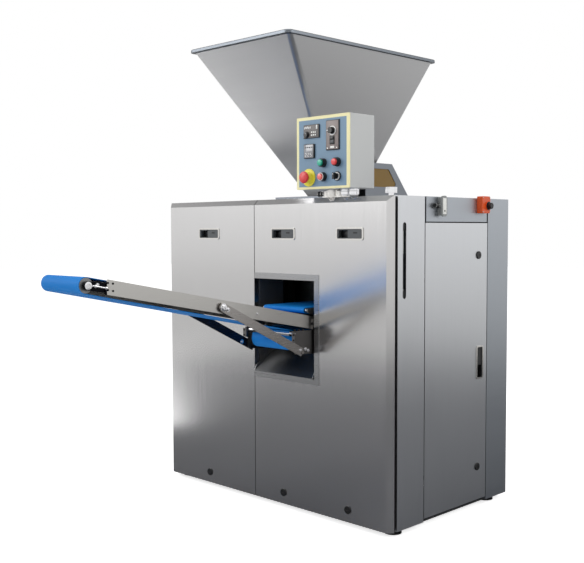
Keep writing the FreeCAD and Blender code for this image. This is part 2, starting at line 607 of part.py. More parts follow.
def belt_outline(circles, outer):
    """Points and arcs of a belt's inner or outer face, taken clockwise seen from +X."""
    def radius(c):
        if c[3] > 0:
            return c[2] + (BELT_T if outer else 0)
        return c[2] if outer else c[2] + BELT_T

    n = len(circles)
    heads = []
    for i in range(n):
        a, b = circles[i], circles[(i + 1) % n]
        dy, dz = b[0] - a[0], b[1] - a[1]
        lean = (a[3] * radius(a) - b[3] * radius(b)) / math.hypot(dy, dz)
        heads.append(math.atan2(dz, dy) - math.asin(lean))

    def at(c, heading):
        r = c[3] * radius(c)
        return V(0, c[0] - r * math.sin(heading), c[1] + r * math.cos(heading))

    edges = []
    for i in range(n):
        c = circles[i]
        into, out = heads[i - 1], heads[i]
        turn = (into - out) % (2 * math.pi) if c[3] > 0 else -((out - into) % (2 * math.pi))
        edges.append(Part.Arc(at(c, into), at(c, into - turn / 2), at(c, out)).toShape())
        edges.append(Part.LineSegment(at(c, out), at(circles[(i + 1) % n], out)).toShape())
    return Part.Wire(Part.__sortEdges__(edges))


def belt(circles):
    outer = Part.Face(belt_outline(circles, True))
    inner = Part.Face(belt_outline(circles, False))
    band = outer.cut(inner).extrude(V(BELT_X1 - BELT_X0, 0, 0))
    return band.translated(V(BELT_X0, 0, 0))


def outfeed_belt():
    circles = [(NOSE[0], NOSE[1], NOSE[2], 1), (TAIL[0], TAIL[1], TAIL[2], 1),
               (DRUM[0], DRUM[1], DRUM[2], 1), (SNUB[0], SNUB[1], SNUB[2] + FIT, -1)]
    return belt(circles)


def inner_belt():
    return belt([(IN_NOSE[0], IN_NOSE[1], IN_NOSE[2], 1), (IN_REAR[0], IN_REAR[1], IN_REAR[2], 1)])


# Outfeed conveyor

def incline(y, down):
    """The point a given distance square below the plates' top edge, which is at y."""
    k = math.hypot(1, SLOPE)
    return (y - down * SLOPE / k, TOP_AT_0 - SLOPE * y - down / k)


def plate_outline():
    return (incline(PLATE_Y_OUT, 0), incline(PLATE_Y_IN, 0), incline(PLATE_Y_IN, PLATE_H),
            incline(PLATE_Y_OUT, PLATE_H))


def conveyor_sides():
    """Two side plates, the sheet bed under the belt, cross bars, tail bar and nose arms."""
    xs = (CONV_X0, CONV_X1 - PLATE_T)
    parts = [prism_yz(plate_outline(), x, x + PLATE_T) for x in xs]
    bed = (incline(-820, 5.9), incline(-12, 4.0), incline(-12, 6.0), incline(-820, 7.9))
    parts.append(prism_yz(bed, CONV_X0 + 1, CONV_X1 - 1))
    for y in (-700, -430, -210):
        cy, cz = incline(y, 20)
        parts.append(rod("x", (CONV_X0 + 1, cy, cz), 7.0, CONV_X1 - CONV_X0 - 2))
    parts.append(rod("x", (CONV_X0 + 1, TAIL[0], TAIL[1]), TAIL[2] - FIT, CONV_X1 - CONV_X0 - 2))
    arm = (incline(-800, 11), (NOSE[0], NOSE[1] + 13), (NOSE[0], NOSE[1] - 13), incline(-800, 37))
    for x in (CONV_X0 + PLATE_T, CONV_X1 - PLATE_T - 6):
        bar = prism_yz(arm, x, x + 6).fuse(rod("x", (x, NOSE[0], NOSE[1]), 13, 6))
        parts.append(bar)
    return join(parts).cut(rod("x", (CONV_X0 - 5, NOSE[0], NOSE[1]), 6.4, CONV_X1 - CONV_X0 + 10))


def roller(centre, axle_r, axle_x0, axle_x1):
    y, z, r = centre
    return join([rod("x", (BELT_X0 + 1, y, z), r - FIT, BELT_X1 - BELT_X0 - 2),
                 rod("x", (axle_x0, y, z), axle_r, axle_x1 - axle_x0)])


def nose_roller():
    return roller(NOSE, 6.0, CONV_X0 + PLATE_T + 0.5, CONV_X1 - PLATE_T - 0.5)


def snub_roller():
    return roller((SNUB[0], SNUB[1], SNUB[2] + FIT), 5.0, CONV_X0 - 4, CONV_X1 + 4)


def drive_drum():
    return roller(DRUM, 10.0, CONV_X0 + 6, CONV_X1 - 6)


def bracket(x, toward):
    """One bracket plate from x, with its bearing block and heel towards the belt and its flange outwards."""
    y, z, _ = DRUM
    block_x = x - 13 if toward < 0 else x + BRACKET_T
    block = round_upright(box(block_x, block_x + 13, y - 24, y + 24, z - 24, z + 24), 8, "x")
    bore_x = block_x - 1 if toward < 0 else block_x + 5
    block = block.cut(rod("x", (bore_x, y, z), 10.5, 9))
    heel_x = x - 24 if toward < 0 else x
    heel = box(heel_x, heel_x + 30, RAIL_Y - 6, RAIL_Y, 588, 618)
    flange_x0, flange_x1 = (x, x + 13) if toward < 0 else (x - 11, x + BRACKET_T)
    flange = box(flange_x0, flange_x1, FLANGE_Y0, FLANGE_Y1, FLANGE_Z0, FLANGE_Z1)
    plate = prism_yz(BRACKET, x, x + BRACKET_T)
    return join([plate, block, heel, flange]).cut(rod("x", (x - 1, SNUB[0], SNUB[1]), 5.4, BRACKET_T + 2))


def drive_brackets():
    """Two plates that carry the conveyor, the drum and the snub roller from the frame rail."""
    return group([bracket(CONV_X1, -1), bracket(CONV_X0 - BRACKET_T, 1)])


def struts():
    """Flat bars that hold the conveyor at its angle, with spacers and pivot bolts."""
    (ya, za), (yb, zb) = ARM_TOP, ARM_LOW
    length = math.hypot(yb - ya, zb - za)
    uy, uz = (yb - ya) / length, (zb - za) / length
    h = ARM_W / 2
    bars = []
    for x, spacer in ((CONV_X1 + BRACKET_T, CONV_X1), (CONV_X0 - BRACKET_T - ARM_T, CONV_X0 - BRACKET_T)):
        corners = ((ya - uz * h, za + uy * h), (yb - uz * h, zb + uy * h), (yb + uz * h, zb - uy * h),
                   (ya + uz * h, za - uy * h))
        bar = join([prism_yz(corners, x, x + ARM_T), rod("x", (x, ya, za), h, ARM_T)])
        bolt_x = x + ARM_T if spacer > 0 else x - BOLT_T
        bar = join([bar, rod("x", (spacer, ya, za), 9, 6), rod("x", (bolt_x, ya, za), 8, BOLT_T),
                    rod("x", (bolt_x, yb, zb), 6, BOLT_T)])
        bars.append(bar)
    return group(bars)


def inner_bed():
    """Side plates, slider sheet, nose bar and legs of the inner belt."""
    outline = ((-13, 703), (-13, 716), (408, 716), (408, 668), (360, 668), (60, 680))
    parts = [prism_yz(outline, x, x + 3) for x in (4.0, 217.0)]
    parts.append(box(5, 219, 6, 350, 715.2, 717.4))
    parts.append(rod("x", (5, IN_NOSE[0] + 1.5, IN_NOSE[1]), 6.4, 214))
    parts.append(prism_yz(((-9, 704), (8, 708), (8, 717.4), (-9, 716)), 5, 219))
    for x in (4.0, 217.0):
        parts.append(box(x, x + 3, 152, 188, 620, 700))
    whole = join(parts)
    return whole.cut(rod("x", (0, IN_REAR[0], IN_REAR[1]), 8.5, 240))


def inner_drum():
    return roller(IN_REAR, 8.0, 4.2, 219.8)


def chute():
    """Catch sheet that slopes out of the outlet, with turned-up sides and two cheeks."""
    front, rear = (-6, 470.0), (150, 578.0)
    slope = (rear[1] - front[1]) / (rear[0] - front[0])
    sheet = prism_yz((front, rear, (rear[0], rear[1] + 2.4), (front[0], front[1] + 2.4)), -61, 236)
    lip = (front, rear, (rear[0], rear[1] + 16), (front[0] + 10, front[1] + 10 * slope + 16))
    lips = [prism_yz(lip, x, x + SHEET) for x in (-61.0, 234.0)]
    cheek = ((24, 500), (24, 812), (146, 812), (146, 582), (110, 556))
    cheeks = [prism_yz(cheek, x, x + SHEET) for x in (-63.0, 236.0)]
    return join([sheet] + lips + cheeks)


# Dividing head

def dough_box():
    """Cast pressure chamber: a bored block, hollowed to the head drum, with its bearing cheeks."""
    block = box(-60, 152, 200, 470, BED_Z + 10, BOX_TOP)
    cheeks = [prism_yz(((92, 935), (92, 1045), (120, 1072), (215, 1072), (215, 906), (120, 906)), x, x + 12)
              for x in (-60.0, 140.0)]
    body = join([block] + cheeks)
    drum = rod("x", (-48, *HEAD), HEAD_R + 0.5, 188)
    chamber = box(CH_X0, CH_X1, 190, 480, CH_Z0, CH_Z1)
    mouth = box(NECK_X0 + SHEET, NECK_X1 - SHEET, NECK_Y0 + SHEET, NECK_Y1 - SHEET, CH_Z1 - 5, BOX_TOP + 5)
    knife_way = box(-70, NECK_X1 + 4, NECK_Y0 - 2.5, NECK_Y1 + 2.5, KNIFE_Z0 - 0.4, KNIFE_Z1 + 0.4)
    bore = rod("x", (-70, *HEAD), 15.5, 240)
    bolts = [rod("z", (x, y, BOX_TOP - 25), 4.2, 30) for x in (-48, 138) for y in (225, 300, 440)]
    hollows = [Part.makeCompound([drum, chamber, bore]), mouth, knife_way, Part.makeCompound(bolts)]
    for hollow in hollows:
        body = body.cut(hollow)
    return body


def ram():
    """Main piston with its rod, which runs in the gear case."""
    head = box(CH_X0 + 0.5, CH_X1 - 0.5, RAM_Y0, RAM_Y1, CH_Z0 + 0.5, CH_Z1 - 0.5)
    groove = box(CH_X0, CH_X1, RAM_Y0 + 12, RAM_Y0 + 15, CH_Z0, CH_Z1)
    core = box(CH_X0 + 3, CH_X1 - 3, RAM_Y0, RAM_Y1, CH_Z0 + 3, CH_Z1 - 3)
    head = join([head.cut(groove), core])
    return head.fuse(rod("y", (46, RAM_Y1, RAM_Z), RAM_ROD_R, 194))


def knife():
    """Sliding shear plate that closes the neck, with its drive rod."""
    blade = box(-193, NECK_X0 - 3.5, NECK_Y0 - 2, NECK_Y1 + 2, KNIFE_Z0, KNIFE_Z1)
    edge = [e for e in blade.Edges if near(e.BoundBox.XMin, NECK_X0 - 3.5) and near(e.BoundBox.ZMin, KNIFE_Z1)]
    blade = blade.makeChamfer(5.0, edge)
    tab = box(-213, -193, 310, 350, KNIFE_Z0 - 4, KNIFE_Z1 + 4)
    return join([blade, tab, rod("x", (-378, 330, (KNIFE_Z0 + KNIFE_Z1) / 2), 8.0, 166)])


def knife_cylinder():
    """Air cylinder of the knife on its two-footed bracket, bolted to the bed plate."""
    z = (KNIFE_Z0 + KNIFE_Z1) / 2
    barrel = rod("x", (-382, 330, z), 24.0, 160)
    starts = (-390.0, -234.0)
    ends = [round_upright(box(x, x + 18, 303, 357, z - 27, z + 27), 5, "x") for x in starts]
    legs = [box(x + 4, x + 14, 308, 352, BED_Z + 10, z - 20) for x in starts]
    feet = [box(x, x + 40, 308, 352, BED_Z + 10, BED_Z + 16) for x in starts]
    body = join([barrel] + ends + legs + feet)
    return body.cut(rod("x", (-380, 330, z), 8.5, 170))


def gearmotor():
    """Gear case that works the ram, with its flange motor on the right."""
    case = round_upright(box(-50, 142, 492, 664, BED_Z + 10, 1050), 10, "x")
    case = case.cut(rod("y", (46, 490, RAM_Z), RAM_ROD_R + 0.5, 172))
    motor = rod("x", (142, 580, 975), 62.0, 150)
    fan = rod("x", (292, 580, 975), 64.0, 36)
    terminal = round_upright(box(180, 250, 545, 615, 1030, 1052), 5, "z")
    foot = box(165, 265, 540, 620, BED_Z + 10, 925)
    return join([case, motor, fan, terminal, foot])


def head_drum():
    """Dividing drum: a bored cylinder with one measuring pocket and its shaft."""
    body = rod("x", (-47.4, *HEAD), HEAD_R, 186.8)
    shaft = rod("x", (-66, *HEAD), 15.0, 224)
    pocket = rod("y", (POCKET_X, HEAD[0] + 18, HEAD[1]), POCKET_R + 0.4, 80)
    return join([body, shaft]).cut(pocket)


def measuring_piston():
    piston = rod("y", (POCKET_X, HEAD[0] + 19, HEAD[1]), POCKET_R, 18)
    return piston.makeChamfer(1.0, [e for e in piston.Edges if near(e.BoundBox.YMin, HEAD[0] + 37)])


NODES = {
    "frame": frame, "levelling_feet": levelling_feet, "top_cover": top_cover,
    "left_cover": left_cover, "rear_cover": rear_cover, "gauge_cover": gauge_cover,
    "side_panels": side_panels, "side_door": side_door, "gauge_tube": gauge_tube,
    "gauge_fittings": gauge_fittings, "oil_tank": oil_tank, "left_panel": left_panel,
    "right_panel": right_panel, "outlet_surround": outlet_surround, "hopper": hopper,
    "hopper_seat": hopper_seat, "neck_guard": neck_guard, "guard_window": guard_window,
    "control_post": control_post, "control_box": control_box, "control_face": control_face,
    "control_modules": control_modules, "estop_head": estop_head, "selector_knob": selector_knob,
    "speed_knob": speed_knob, "orange_box": orange_box, "orange_button": orange_button,
    "interlock_switch": interlock_switch, "top_knob": top_knob, "conveyor_sides": conveyor_sides,
    "outfeed_belt": outfeed_belt, "nose_roller": nose_roller, "snub_roller": snub_roller,
    "drive_drum": drive_drum, "drive_brackets": drive_brackets, "struts": struts,
    "inner_belt": inner_belt, "inner_bed": inner_bed, "inner_drum": inner_drum, "chute": chute,
    "dough_box": dough_box, "ram": ram, "knife": knife, "knife_cylinder": knife_cylinder,
    "gearmotor": gearmotor, "head_drum": head_drum, "measuring_piston": measuring_piston,
}


def all_nodes():
    shapes = {name: make() for name, make in NODES.items()}
    shapes["start_button"] = push_button(COL_B, ROW_TOP_Z, 9.0)
    shapes["stop_button"] = push_button(COL_C, ROW_TOP_Z, 9.0)
    shapes["reset_button"] = push_button(COL_B, ROW_LOW_Z, 9.0)
    shapes["left_bezel"] = on_front(latch_bezel(), FRONT_LATCHES["left"], LATCH_Z)
    shapes["right_bezels"] = group([on_front(latch_bezel(), FRONT_LATCHES[n], LATCH_Z) for n in ("mid", "right")])
    shapes["door_bezel"] = on_door(latch_bezel())
    for name, x in FRONT_LATCHES.items():
        shapes["latch_" + name] = on_front(latch_paddle(), x, LATCH_Z)
    shapes["latch_door"] = on_door(latch_paddle())
    shapes["left_lock"] = group([on_front(quarter_turn_lock(), x, z) for x, z in LEFT_LOCKS])
    shapes["right_locks"] = group([on_front(quarter_turn_lock(), x, z) for x, z in RIGHT_LOCKS])
    shapes["door_locks"] = group([lock_on_door(y, z) for y, z in DOOR_LOCKS])
    return shapes


def main():
    os.makedirs("parts", exist_ok=True)
    for name, shape in all_nodes().items():
        if not shape.isValid():
            print("not valid:", name)
        placed = shape.translated(EXPORT_SHIFT)
        placed.exportStep("parts/" + name + ".step")
        b = placed.BoundBox
        print(f"{name}: {len(placed.Solids)} solids, x {b.XMin:.1f} {b.XMax:.1f}, "
              f"y {b.YMin:.1f} {b.YMax:.1f}, z {b.ZMin:.1f} {b.ZMax:.1f}")


main()
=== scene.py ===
import bpy
import math
from mathutils import Matrix, Vector


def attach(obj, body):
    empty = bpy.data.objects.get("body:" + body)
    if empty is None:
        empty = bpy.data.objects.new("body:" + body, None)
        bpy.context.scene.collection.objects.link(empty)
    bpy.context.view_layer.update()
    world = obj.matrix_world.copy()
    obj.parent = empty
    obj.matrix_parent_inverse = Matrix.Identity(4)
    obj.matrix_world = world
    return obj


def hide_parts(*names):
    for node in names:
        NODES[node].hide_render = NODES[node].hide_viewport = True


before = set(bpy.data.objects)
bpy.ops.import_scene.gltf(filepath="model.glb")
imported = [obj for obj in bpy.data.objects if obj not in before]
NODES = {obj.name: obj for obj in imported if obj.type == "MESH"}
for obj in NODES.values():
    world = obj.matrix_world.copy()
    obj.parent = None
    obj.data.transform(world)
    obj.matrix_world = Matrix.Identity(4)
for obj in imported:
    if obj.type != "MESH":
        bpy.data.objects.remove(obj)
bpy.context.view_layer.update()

MM = 0.001

# The cabinet's own zero in millimetres: middle, front panels' plane, lower edge of the front panels
ZERO = Vector((-20.5, 102.5, 19.0))

# Control panel, in millimetres from that zero: its face plane, the middles of its three columns and two rows,
# and the blue field's ends in x and z
PANEL_Y = -37.0
COLUMNS = (252.0, 319.0, 382.0)
ROWS = (1213.0, 1166.5)
FIELD = (205.0, 421.8, 1135.0, 1360.0)

# Camera, fitted to the cabinet's edges in the photograph: place in metres, turn in radians
CAMERA_AT = Vector((2.40985, -2.20705, 1.0058))
CAMERA_YAW, CAMERA_PITCH, CAMERA_ROLL = 0.783, -0.055, -0.003
LENS_MM = 56.84

# The floor, and two cards that lie on it for the steel to reflect: name, middle, size, turn in degrees, colour,
# own light as the camera sees it, and the share of that light that metal shows
STAGE = (
    ("floor", (0.0, 0.0, 0.0), (40.0, 40.0), 0.0, "#F4F4F3", 0.75, 0.3),
    ("dark card", (0.4, 0.4, 0.004), (7.2, 7.2), 0.0, "#76777A", 0.0, 1.0),
    ("white card", (-2.35, -0.75, 0.008), (2.0, 0.8), 33.0, "#FFFFFF", 1.0, 1.0),
)

# Softboxes: name, place, what they point at, size in metres and power in watts
LAMPS = (
    ("front softbox", (-2.6, -3.2, 2.6), (0.0, 0.0, 0.9), (2.4, 1.8), 70.0),
    ("side softbox", (3.6, 1.8, 2.8), (0.4, 0.3, 0.8), (2.4, 1.8), 40.0),
    ("top softbox", (0.0, -0.5, 4.2), (0.0, 0.0, 0.8), (3.0, 3.0), 60.0),
)

# The white surround: its light on matt surfaces, and what camera, metal and glass see of it. That is plain
# white up to the first height and dims to the top's strength at the second, where 1 is straight up
AMBIENT = 0.5
SKY_WHITE, SKY_DIM, SKY_TOP = 0.3, 0.75, 0.3


def camera():
    """The camera at the photograph's place, turn and lens."""
    yaw, pitch, roll = CAMERA_YAW, CAMERA_PITCH, CAMERA_ROLL
    ahead = Vector((-math.sin(yaw) * math.cos(pitch), math.cos(yaw) * math.cos(pitch), math.sin(pitch)))
    level = Vector((math.cos(yaw), math.sin(yaw), 0.0))
    above = level.cross(ahead)
    right = level * math.cos(roll) + above * math.sin(roll)
    up = above * math.cos(roll) - level * math.sin(roll)
    data = bpy.data.cameras.new("camera")
    data.sensor_width = 36.0
    data.lens = LENS_MM
    data.clip_end = 50.0
    cam = bpy.data.objects.new("camera", data)
    bpy.context.scene.collection.objects.link(cam)
    cam.matrix_world = Matrix((
        (right.x, up.x, -ahead.x, CAMERA_AT.x),
        (right.y, up.y, -ahead.y, CAMERA_AT.y),
        (right.z, up.z, -ahead.z, CAMERA_AT.z),
        (0, 0, 0, 1)))
    bpy.context.scene.camera = cam


# Materials

def rgb(text):
    """An sRGB hex colour as linear light."""
    parts = [int(text[i:i + 2], 16) / 255 for i in (1, 3, 5)]
    return tuple(c / 12.92 if c <= 0.04045 else ((c + 0.055) / 1.055) ** 2.4 for c in parts) + (1.0,)


def add(tree, kind, settings=None, **links):
    """One shader node. Settings are its own properties; links name inputs, as a value or another socket."""
    node = tree.nodes.new(kind)
    for key, value in (settings or {}).items():
        setattr(node, key, value)
    for key, value in links.items():
        numbered = key[0] == "i" and key[1:].isdigit()
        socket = node.inputs[int(key[1:])] if numbered else node.inputs[key.replace("_", " ")]
        if isinstance(value, bpy.types.NodeSocket):
            tree.links.new(value, socket)
        else:
            socket.default_value = value
    return node


def material(name):
    """A new material with its node tree and its shader."""
    mat = bpy.data.materials.new(name)
    mat.use_nodes = True
    tree = mat.node_tree
    shader = tree.nodes["Principled BSDF"]
    return mat, tree, shader


# A speck of a moulded or cast grain, drawn this many times coarser than its size so that it shows
SPREAD = 6


def plain(name, colour, roughness, metallic=0.0, coat=0.0, grain_mm=0.6, depth=0.04, ior=None):
    """A moulded, painted or cast finish: one colour with a fine grain in its gloss and its relief."""
    mat, tree, shader = material(name)
    place = add(tree, "ShaderNodeTexCoord")
    grain = add(tree, "ShaderNodeTexNoise", Vector=place.outputs["Object"], Scale=1000.0 / grain_mm / SPREAD,
                Detail=3.0)
    level = add(tree, "ShaderNodeMapRange", Value=grain.outputs["Fac"], i3=max(roughness - 0.05, 0.02),
                i4=roughness + 0.05)
    relief = add(tree, "ShaderNodeBump", Height=grain.outputs["Fac"], Strength=depth * 4, Distance=0.0002)
    tree.links.new(level.outputs[0], shader.inputs["Roughness"])
    tree.links.new(relief.outputs[0], shader.inputs["Normal"])
    shader.inputs["Base Color"].default_value = rgb(colour)
    shader.inputs["Metallic"].default_value = metallic
    shader.inputs["Coat Weight"].default_value = coat
    if ior is not None:
        shader.inputs["IOR"].default_value = ior
    return mat


# Brush strokes, drawn far coarser than the real 0.2 mm so that they show, and their length over their width
STROKE_MM = 4.8
STROKE_LENGTH = 60


def brushed(name, colour, roughness, stroke, contrast=0.06, bump=0.08, other=None):
    """Brushed stainless sheet: long fine strokes along one axis that streak the gloss and the tone.
    Other is (axis, millimetres, colour): up to that place along the axis the steel has the other tone."""
    mat, tree, shader = material(name)
    place = add(tree, "ShaderNodeTexCoord")
    across = 1000.0 / STROKE_MM
    along = across / STROKE_LENGTH
    scale = {"x": (along, across, across), "y": (across, along, across), "z": (across, across, along)}[stroke]
    turn = add(tree, "ShaderNodeMapping", Vector=place.outputs["Object"], Scale=scale)
    strokes = add(tree, "ShaderNodeTexNoise", Vector=turn.outputs[0], Scale=1.0, Detail=4.0, Roughness=0.6)
    cloud = add(tree, "ShaderNodeTexNoise", Vector=place.outputs["Object"], Scale=2.2, Detail=2.0)
    both = add(tree, "ShaderNodeMath", {"operation": "MULTIPLY_ADD"}, i0=cloud.outputs["Fac"], i1=0.5,
               i2=strokes.outputs["Fac"])
    gloss = add(tree, "ShaderNodeMapRange", Value=both.outputs[0], i1=0.3, i2=1.2, i3=roughness - contrast,
                i4=roughness + contrast)
    base = rgb(colour)
    darker = tuple(c * 0.93 for c in base[:3]) + (1.0,)
    tone = add(tree, "ShaderNodeMix", {"data_type": "RGBA"}, Factor=strokes.outputs["Fac"], i6=darker,
               i7=base)
    if other is not None:
        axis, limit, second = other
        parts = add(tree, "ShaderNodeSeparateXYZ", Vector=place.outputs["Object"])
        past = add(tree, "ShaderNodeMath", {"operation": "GREATER_THAN"}, i0=parts.outputs[axis],
                   i1=limit * MM)
        tone = add(tree, "ShaderNodeMix", {"data_type": "RGBA"}, Factor=past.outputs[0], i6=rgb(second),
                   i7=tone.outputs[2])
    relief = add(tree, "ShaderNodeBump", Height=strokes.outputs["Fac"], Strength=bump, Distance=0.0001)
    tree.links.new(tone.outputs[2], shader.inputs["Base Color"])
    tree.links.new(gloss.outputs[0], shader.inputs["Roughness"])
    tree.links.new(relief.outputs[0], shader.inputs["Normal"])
    shader.inputs["Metallic"].default_value = 1.0
    shader.inputs["Anisotropic"].default_value = 0.35
    return mat


def glassy(name, colour, roughness, alpha):
    """A thin tinted pane: clear gloss on top of a see-through tint."""
    mat, tree, shader = material(name)
    place = add(tree, "ShaderNodeTexCoord")
    haze = add(tree, "ShaderNodeTexNoise", Vector=place.outputs["Object"], Scale=30.0, Detail=2.0)
    level = add(tree, "ShaderNodeMapRange", Value=haze.outputs["Fac"], i3=roughness * 0.8, i4=roughness * 1.3)
    tree.links.new(level.outputs[0], shader.inputs["Roughness"])
    shader.inputs["Base Color"].default_value = rgb(colour)
    shader.inputs["Alpha"].default_value = alpha
    shader.inputs["IOR"].default_value = 1.5
    return mat


# Weave of the belt's fabric, drawn at 4 mm where the real one is near 1 mm, so that it shows
WEAVE_MM = 4.0


def belt_cloth(name, colour, shade):
    """Blue food-grade belting: a matt cover with the fine weave of its fabric showing through."""
    mat, tree, shader = material(name)
    place = add(tree, "ShaderNodeTexCoord")
    weave = add(tree, "ShaderNodeTexWave", {"bands_direction": "X"}, Vector=place.outputs["Object"],
                Scale=1000.0 / WEAVE_MM / 6.28, Distortion=0.6, Detail=1.0)
    worn = add(tree, "ShaderNodeTexNoise", Vector=place.outputs["Object"], Scale=9.0, Detail=3.0)
    tone = add(tree, "ShaderNodeMix", {"data_type": "RGBA"}, Factor=worn.outputs["Fac"], i6=rgb(shade),
               i7=rgb(colour))
    relief = add(tree, "ShaderNodeBump", Height=weave.outputs["Fac"], Strength=0.1, Distance=0.0002)
    tree.links.new(tone.outputs[2], shader.inputs["Base Color"])
    tree.links.new(relief.outputs[0], shader.inputs["Normal"])
    shader.inputs["Roughness"].default_value = 0.62
    shader.inputs["Specular IOR Level"].default_value = 0.25
    return mat


def panel_face(name, border, field, bounds):
    """A cream plate with the printed field of the controls on it, softly mottled in its gloss."""
    mat, tree, shader = material(name)
    place = add(tree, "ShaderNodeTexCoord")
    parts = add(tree, "ShaderNodeSeparateXYZ", Vector=place.outputs["Object"])
    inside = 1.0
    for axis, low, high in (("X", bounds[0] + ZERO.x, bounds[1] + ZERO.x),
                            ("Z", bounds[2] + ZERO.z, bounds[3] + ZERO.z)):
        half = add(tree, "ShaderNodeMath", {"operation": "COMPARE"}, i0=parts.outputs[axis],
                   i1=(low + high) / 2 * MM, i2=(high - low) / 2 * MM)
        inside = add(tree, "ShaderNodeMath", {"operation": "MULTIPLY"}, i0=half.outputs[0],
                     i1=inside).outputs[0]
    tone = add(tree, "ShaderNodeMix", {"data_type": "RGBA"}, Factor=inside, i6=rgb(border), i7=rgb(field))
    haze = add(tree, "ShaderNodeTexNoise", Vector=place.outputs["Object"], Scale=60.0, Detail=3.0)
    gloss = add(tree, "ShaderNodeMapRange", Value=haze.outputs["Fac"], i3=0.42, i4=0.56)
    tree.links.new(tone.outputs[2], shader.inputs["Base Color"])
    tree.links.new(gloss.outputs[0], shader.inputs["Roughness"])
    return mat


# Stainless steel, cold rolled and brushed: metals of one kind, told apart by the way they were ground, and in
# places by painted shade

# Front panels, finely brushed from top to bottom: long soft reflections drawn out upwards
STEEL_FRONT = brushed("brushed stainless front", "#D3D2D2", 0.22, "z", contrast=0.03, bump=0.04)
# Side panels, a coarser brush and a cooler tone: the floor and the wall melt into one soft slope of grey
STEEL_SIDE = brushed("brushed stainless side", "#D3D5D8", 0.32, "z", contrast=0.04, bump=0.04)
# Upper side panel, brushed from front to rear: duller and a little darker than the door
STEEL_UPPER = brushed("brushed stainless upper side", "#AEB3B9", 0.40, "y")
# Hopper sheet, matt brushed; its turned-out rim is ground smooth, and its darker tone is painted shade for how
# dark it looks against the sky
RIM_LOW = 1633.0 + ZERO.z
STEEL_HOPPER = brushed("brushed stainless hopper, rim in painted shade", "#70757B", 0.38, "x", other=("Z", RIM_LOW, "#BEBEBF"))
# Conveyor side plates, ground along their length; the nose arms beyond their ends are blackened
ARM_END = -836.0 + ZERO.y
STEEL_CONVEYOR = brushed("ground stainless side plate", "#C6C4C0", 0.30, "y", other=("Y", ARM_END, "#141418"))
# Neck guard, a dull folded sheet; its dark tone is painted shade for the hopper's shadow over it
STEEL_GUARD = brushed("guard sheet in painted shade", "#7C8086", 0.4, "y")
# Trim round the outlet, brushed across: a thin bright frame
STEEL_FRAME_TRIM = brushed("brushed outlet trim", "#ABABAC", 0.28, "x", contrast=0.03)
# Flat bar as drawn: the near strut is bright, and the far one, under the belt, is painted dark as painted shade
FAR_STRUT_SHADE_LIMIT = 100.0 + ZERO.x
STEEL_BAR = brushed("drawn flat bar, far strut in painted shade", "#A8A4A1", 0.28, "y", other=("X", FAR_STRUT_SHADE_LIMIT, "#34363D"))
# Brackets of the drive, dark mill scale ground off in part
STEEL_BRACKET = brushed("dark ground plate", "#6F6D6C", 0.34, "y")
# Bed of the inner belt, ground plate
STEEL_PLATE = brushed("ground stainless plate", "#CFCCC7", 0.30, "y")
# Bezels and screw heads, polished: small clear highlights
STEEL_TRIM = brushed("polished stainless trim", "#DAD8D4", 0.20, "x", contrast=0.03)
# Sheet as it left the mill, grey and without a clear reflection
STEEL_DULL = brushed("mill-finish stainless", "#8E8F90", 0.45, "y")

# Other metals and paints

# Powder coat on the tube frame: dark, faintly pebbled
FRAME_PAINT = plain("dark powder coat", "#2A2C2E", 0.55)
# Plated turned parts, mirror bright
CHROME = plain("bright chrome", "#E6E6E8", 0.12, metallic=1.0, depth=0.0)
# Machined iron of the head: grey, with the coarse grain of the casting
CAST_IRON = plain("ground cast iron", "#6E7073", 0.42, metallic=1.0, grain_mm=2.0)
# Enamel on the gear motor and the oil tank: a soft gloss
MOTOR_PAINT = plain("grey enamel", "#5C666B", 0.4)
# Powder coat on the control box: light, nearly matt
BOX_PAINT = plain("light grey powder coat", "#C4C6C6", 0.45)
# Blackened steel of small bolts
BLACK_STEEL = plain("blackened steel", "#18181B", 0.32, metallic=0.6)

# Plastics, moulded: an even tone with a small highlight

# Housings, knobs and locks: black, satin. The door latch's pull plate takes it as painted shade: it is the same
# part as the dark grey plates in front
BLACK_PLASTIC = plain("black polyamide", "#101113", 0.38, ior=1.5)
# Pull plates and pans of the front latches: dark grey against the bright bezel
DARK_PLASTIC = plain("dark grey ABS", "#4B4E50", 0.42, ior=1.5)
# Door switch: mid grey, between the steel and its plug
GREY_PLASTIC = plain("grey ABS", "#8B8E8E", 0.40, ior=1.5)
# Keys, tag and the measuring piston: off-white, faintly waxy
WHITE_PLASTIC = plain("white acetal", "#E9EAE6", 0.35, ior=1.48)
# Push-button box on the side: the one warm spot on the steel
ORANGE = plain("orange ABS", "#D9521C", 0.36, coat=0.1, ior=1.5)
# Emergency stop and stop button, smooth with a thin clear sheen
RED = plain("red moulded plastic", "#DB3A3C", 0.35, coat=0.2, ior=1.5)
# Lens of the reset button: paler, and glossier than the solid caps
PINK = plain("translucent red lens", "#E86A66", 0.25, coat=0.4, ior=1.5)
# Start button: sea green with a sheen
GREEN = plain("green moulded plastic", "#12A98A", 0.3, coat=0.3, ior=1.5)
# Ring under the emergency stop: clear yellow, matter than the head on it
YELLOW = plain("yellow moulded plastic", "#E9DF3E", 0.4, ior=1.5)

# Foils, prints and panes

# Cream front plate with its printed blue field, satin
PANEL_FACE = panel_face("cream panel with blue field", "#F1E9B4", "#7390A8", FIELD)
# Printed foil of the timer, dark and satin
TIMER_FACE = plain("dark grey instrument foil", "#6C6866", 0.45)
# Printed foil of the speed controller, a warmer and lighter grey
SPEED_FACE = plain("brown grey instrument foil", "#8A7F7C", 0.42)
# Display window: a glossy pane over grey
SCREEN = plain("grey display glass", "#8E8F93", 0.18, coat=0.5, ior=1.5)
# White print on dials and knobs
MARK = plain("white printed mark", "#F3F3F1", 0.5)
# Tinted pane of the neck guard, deep amber, seen through only a little
AMBER = glassy("amber polycarbonate", "#8A6A24", 0.2, 0.82)
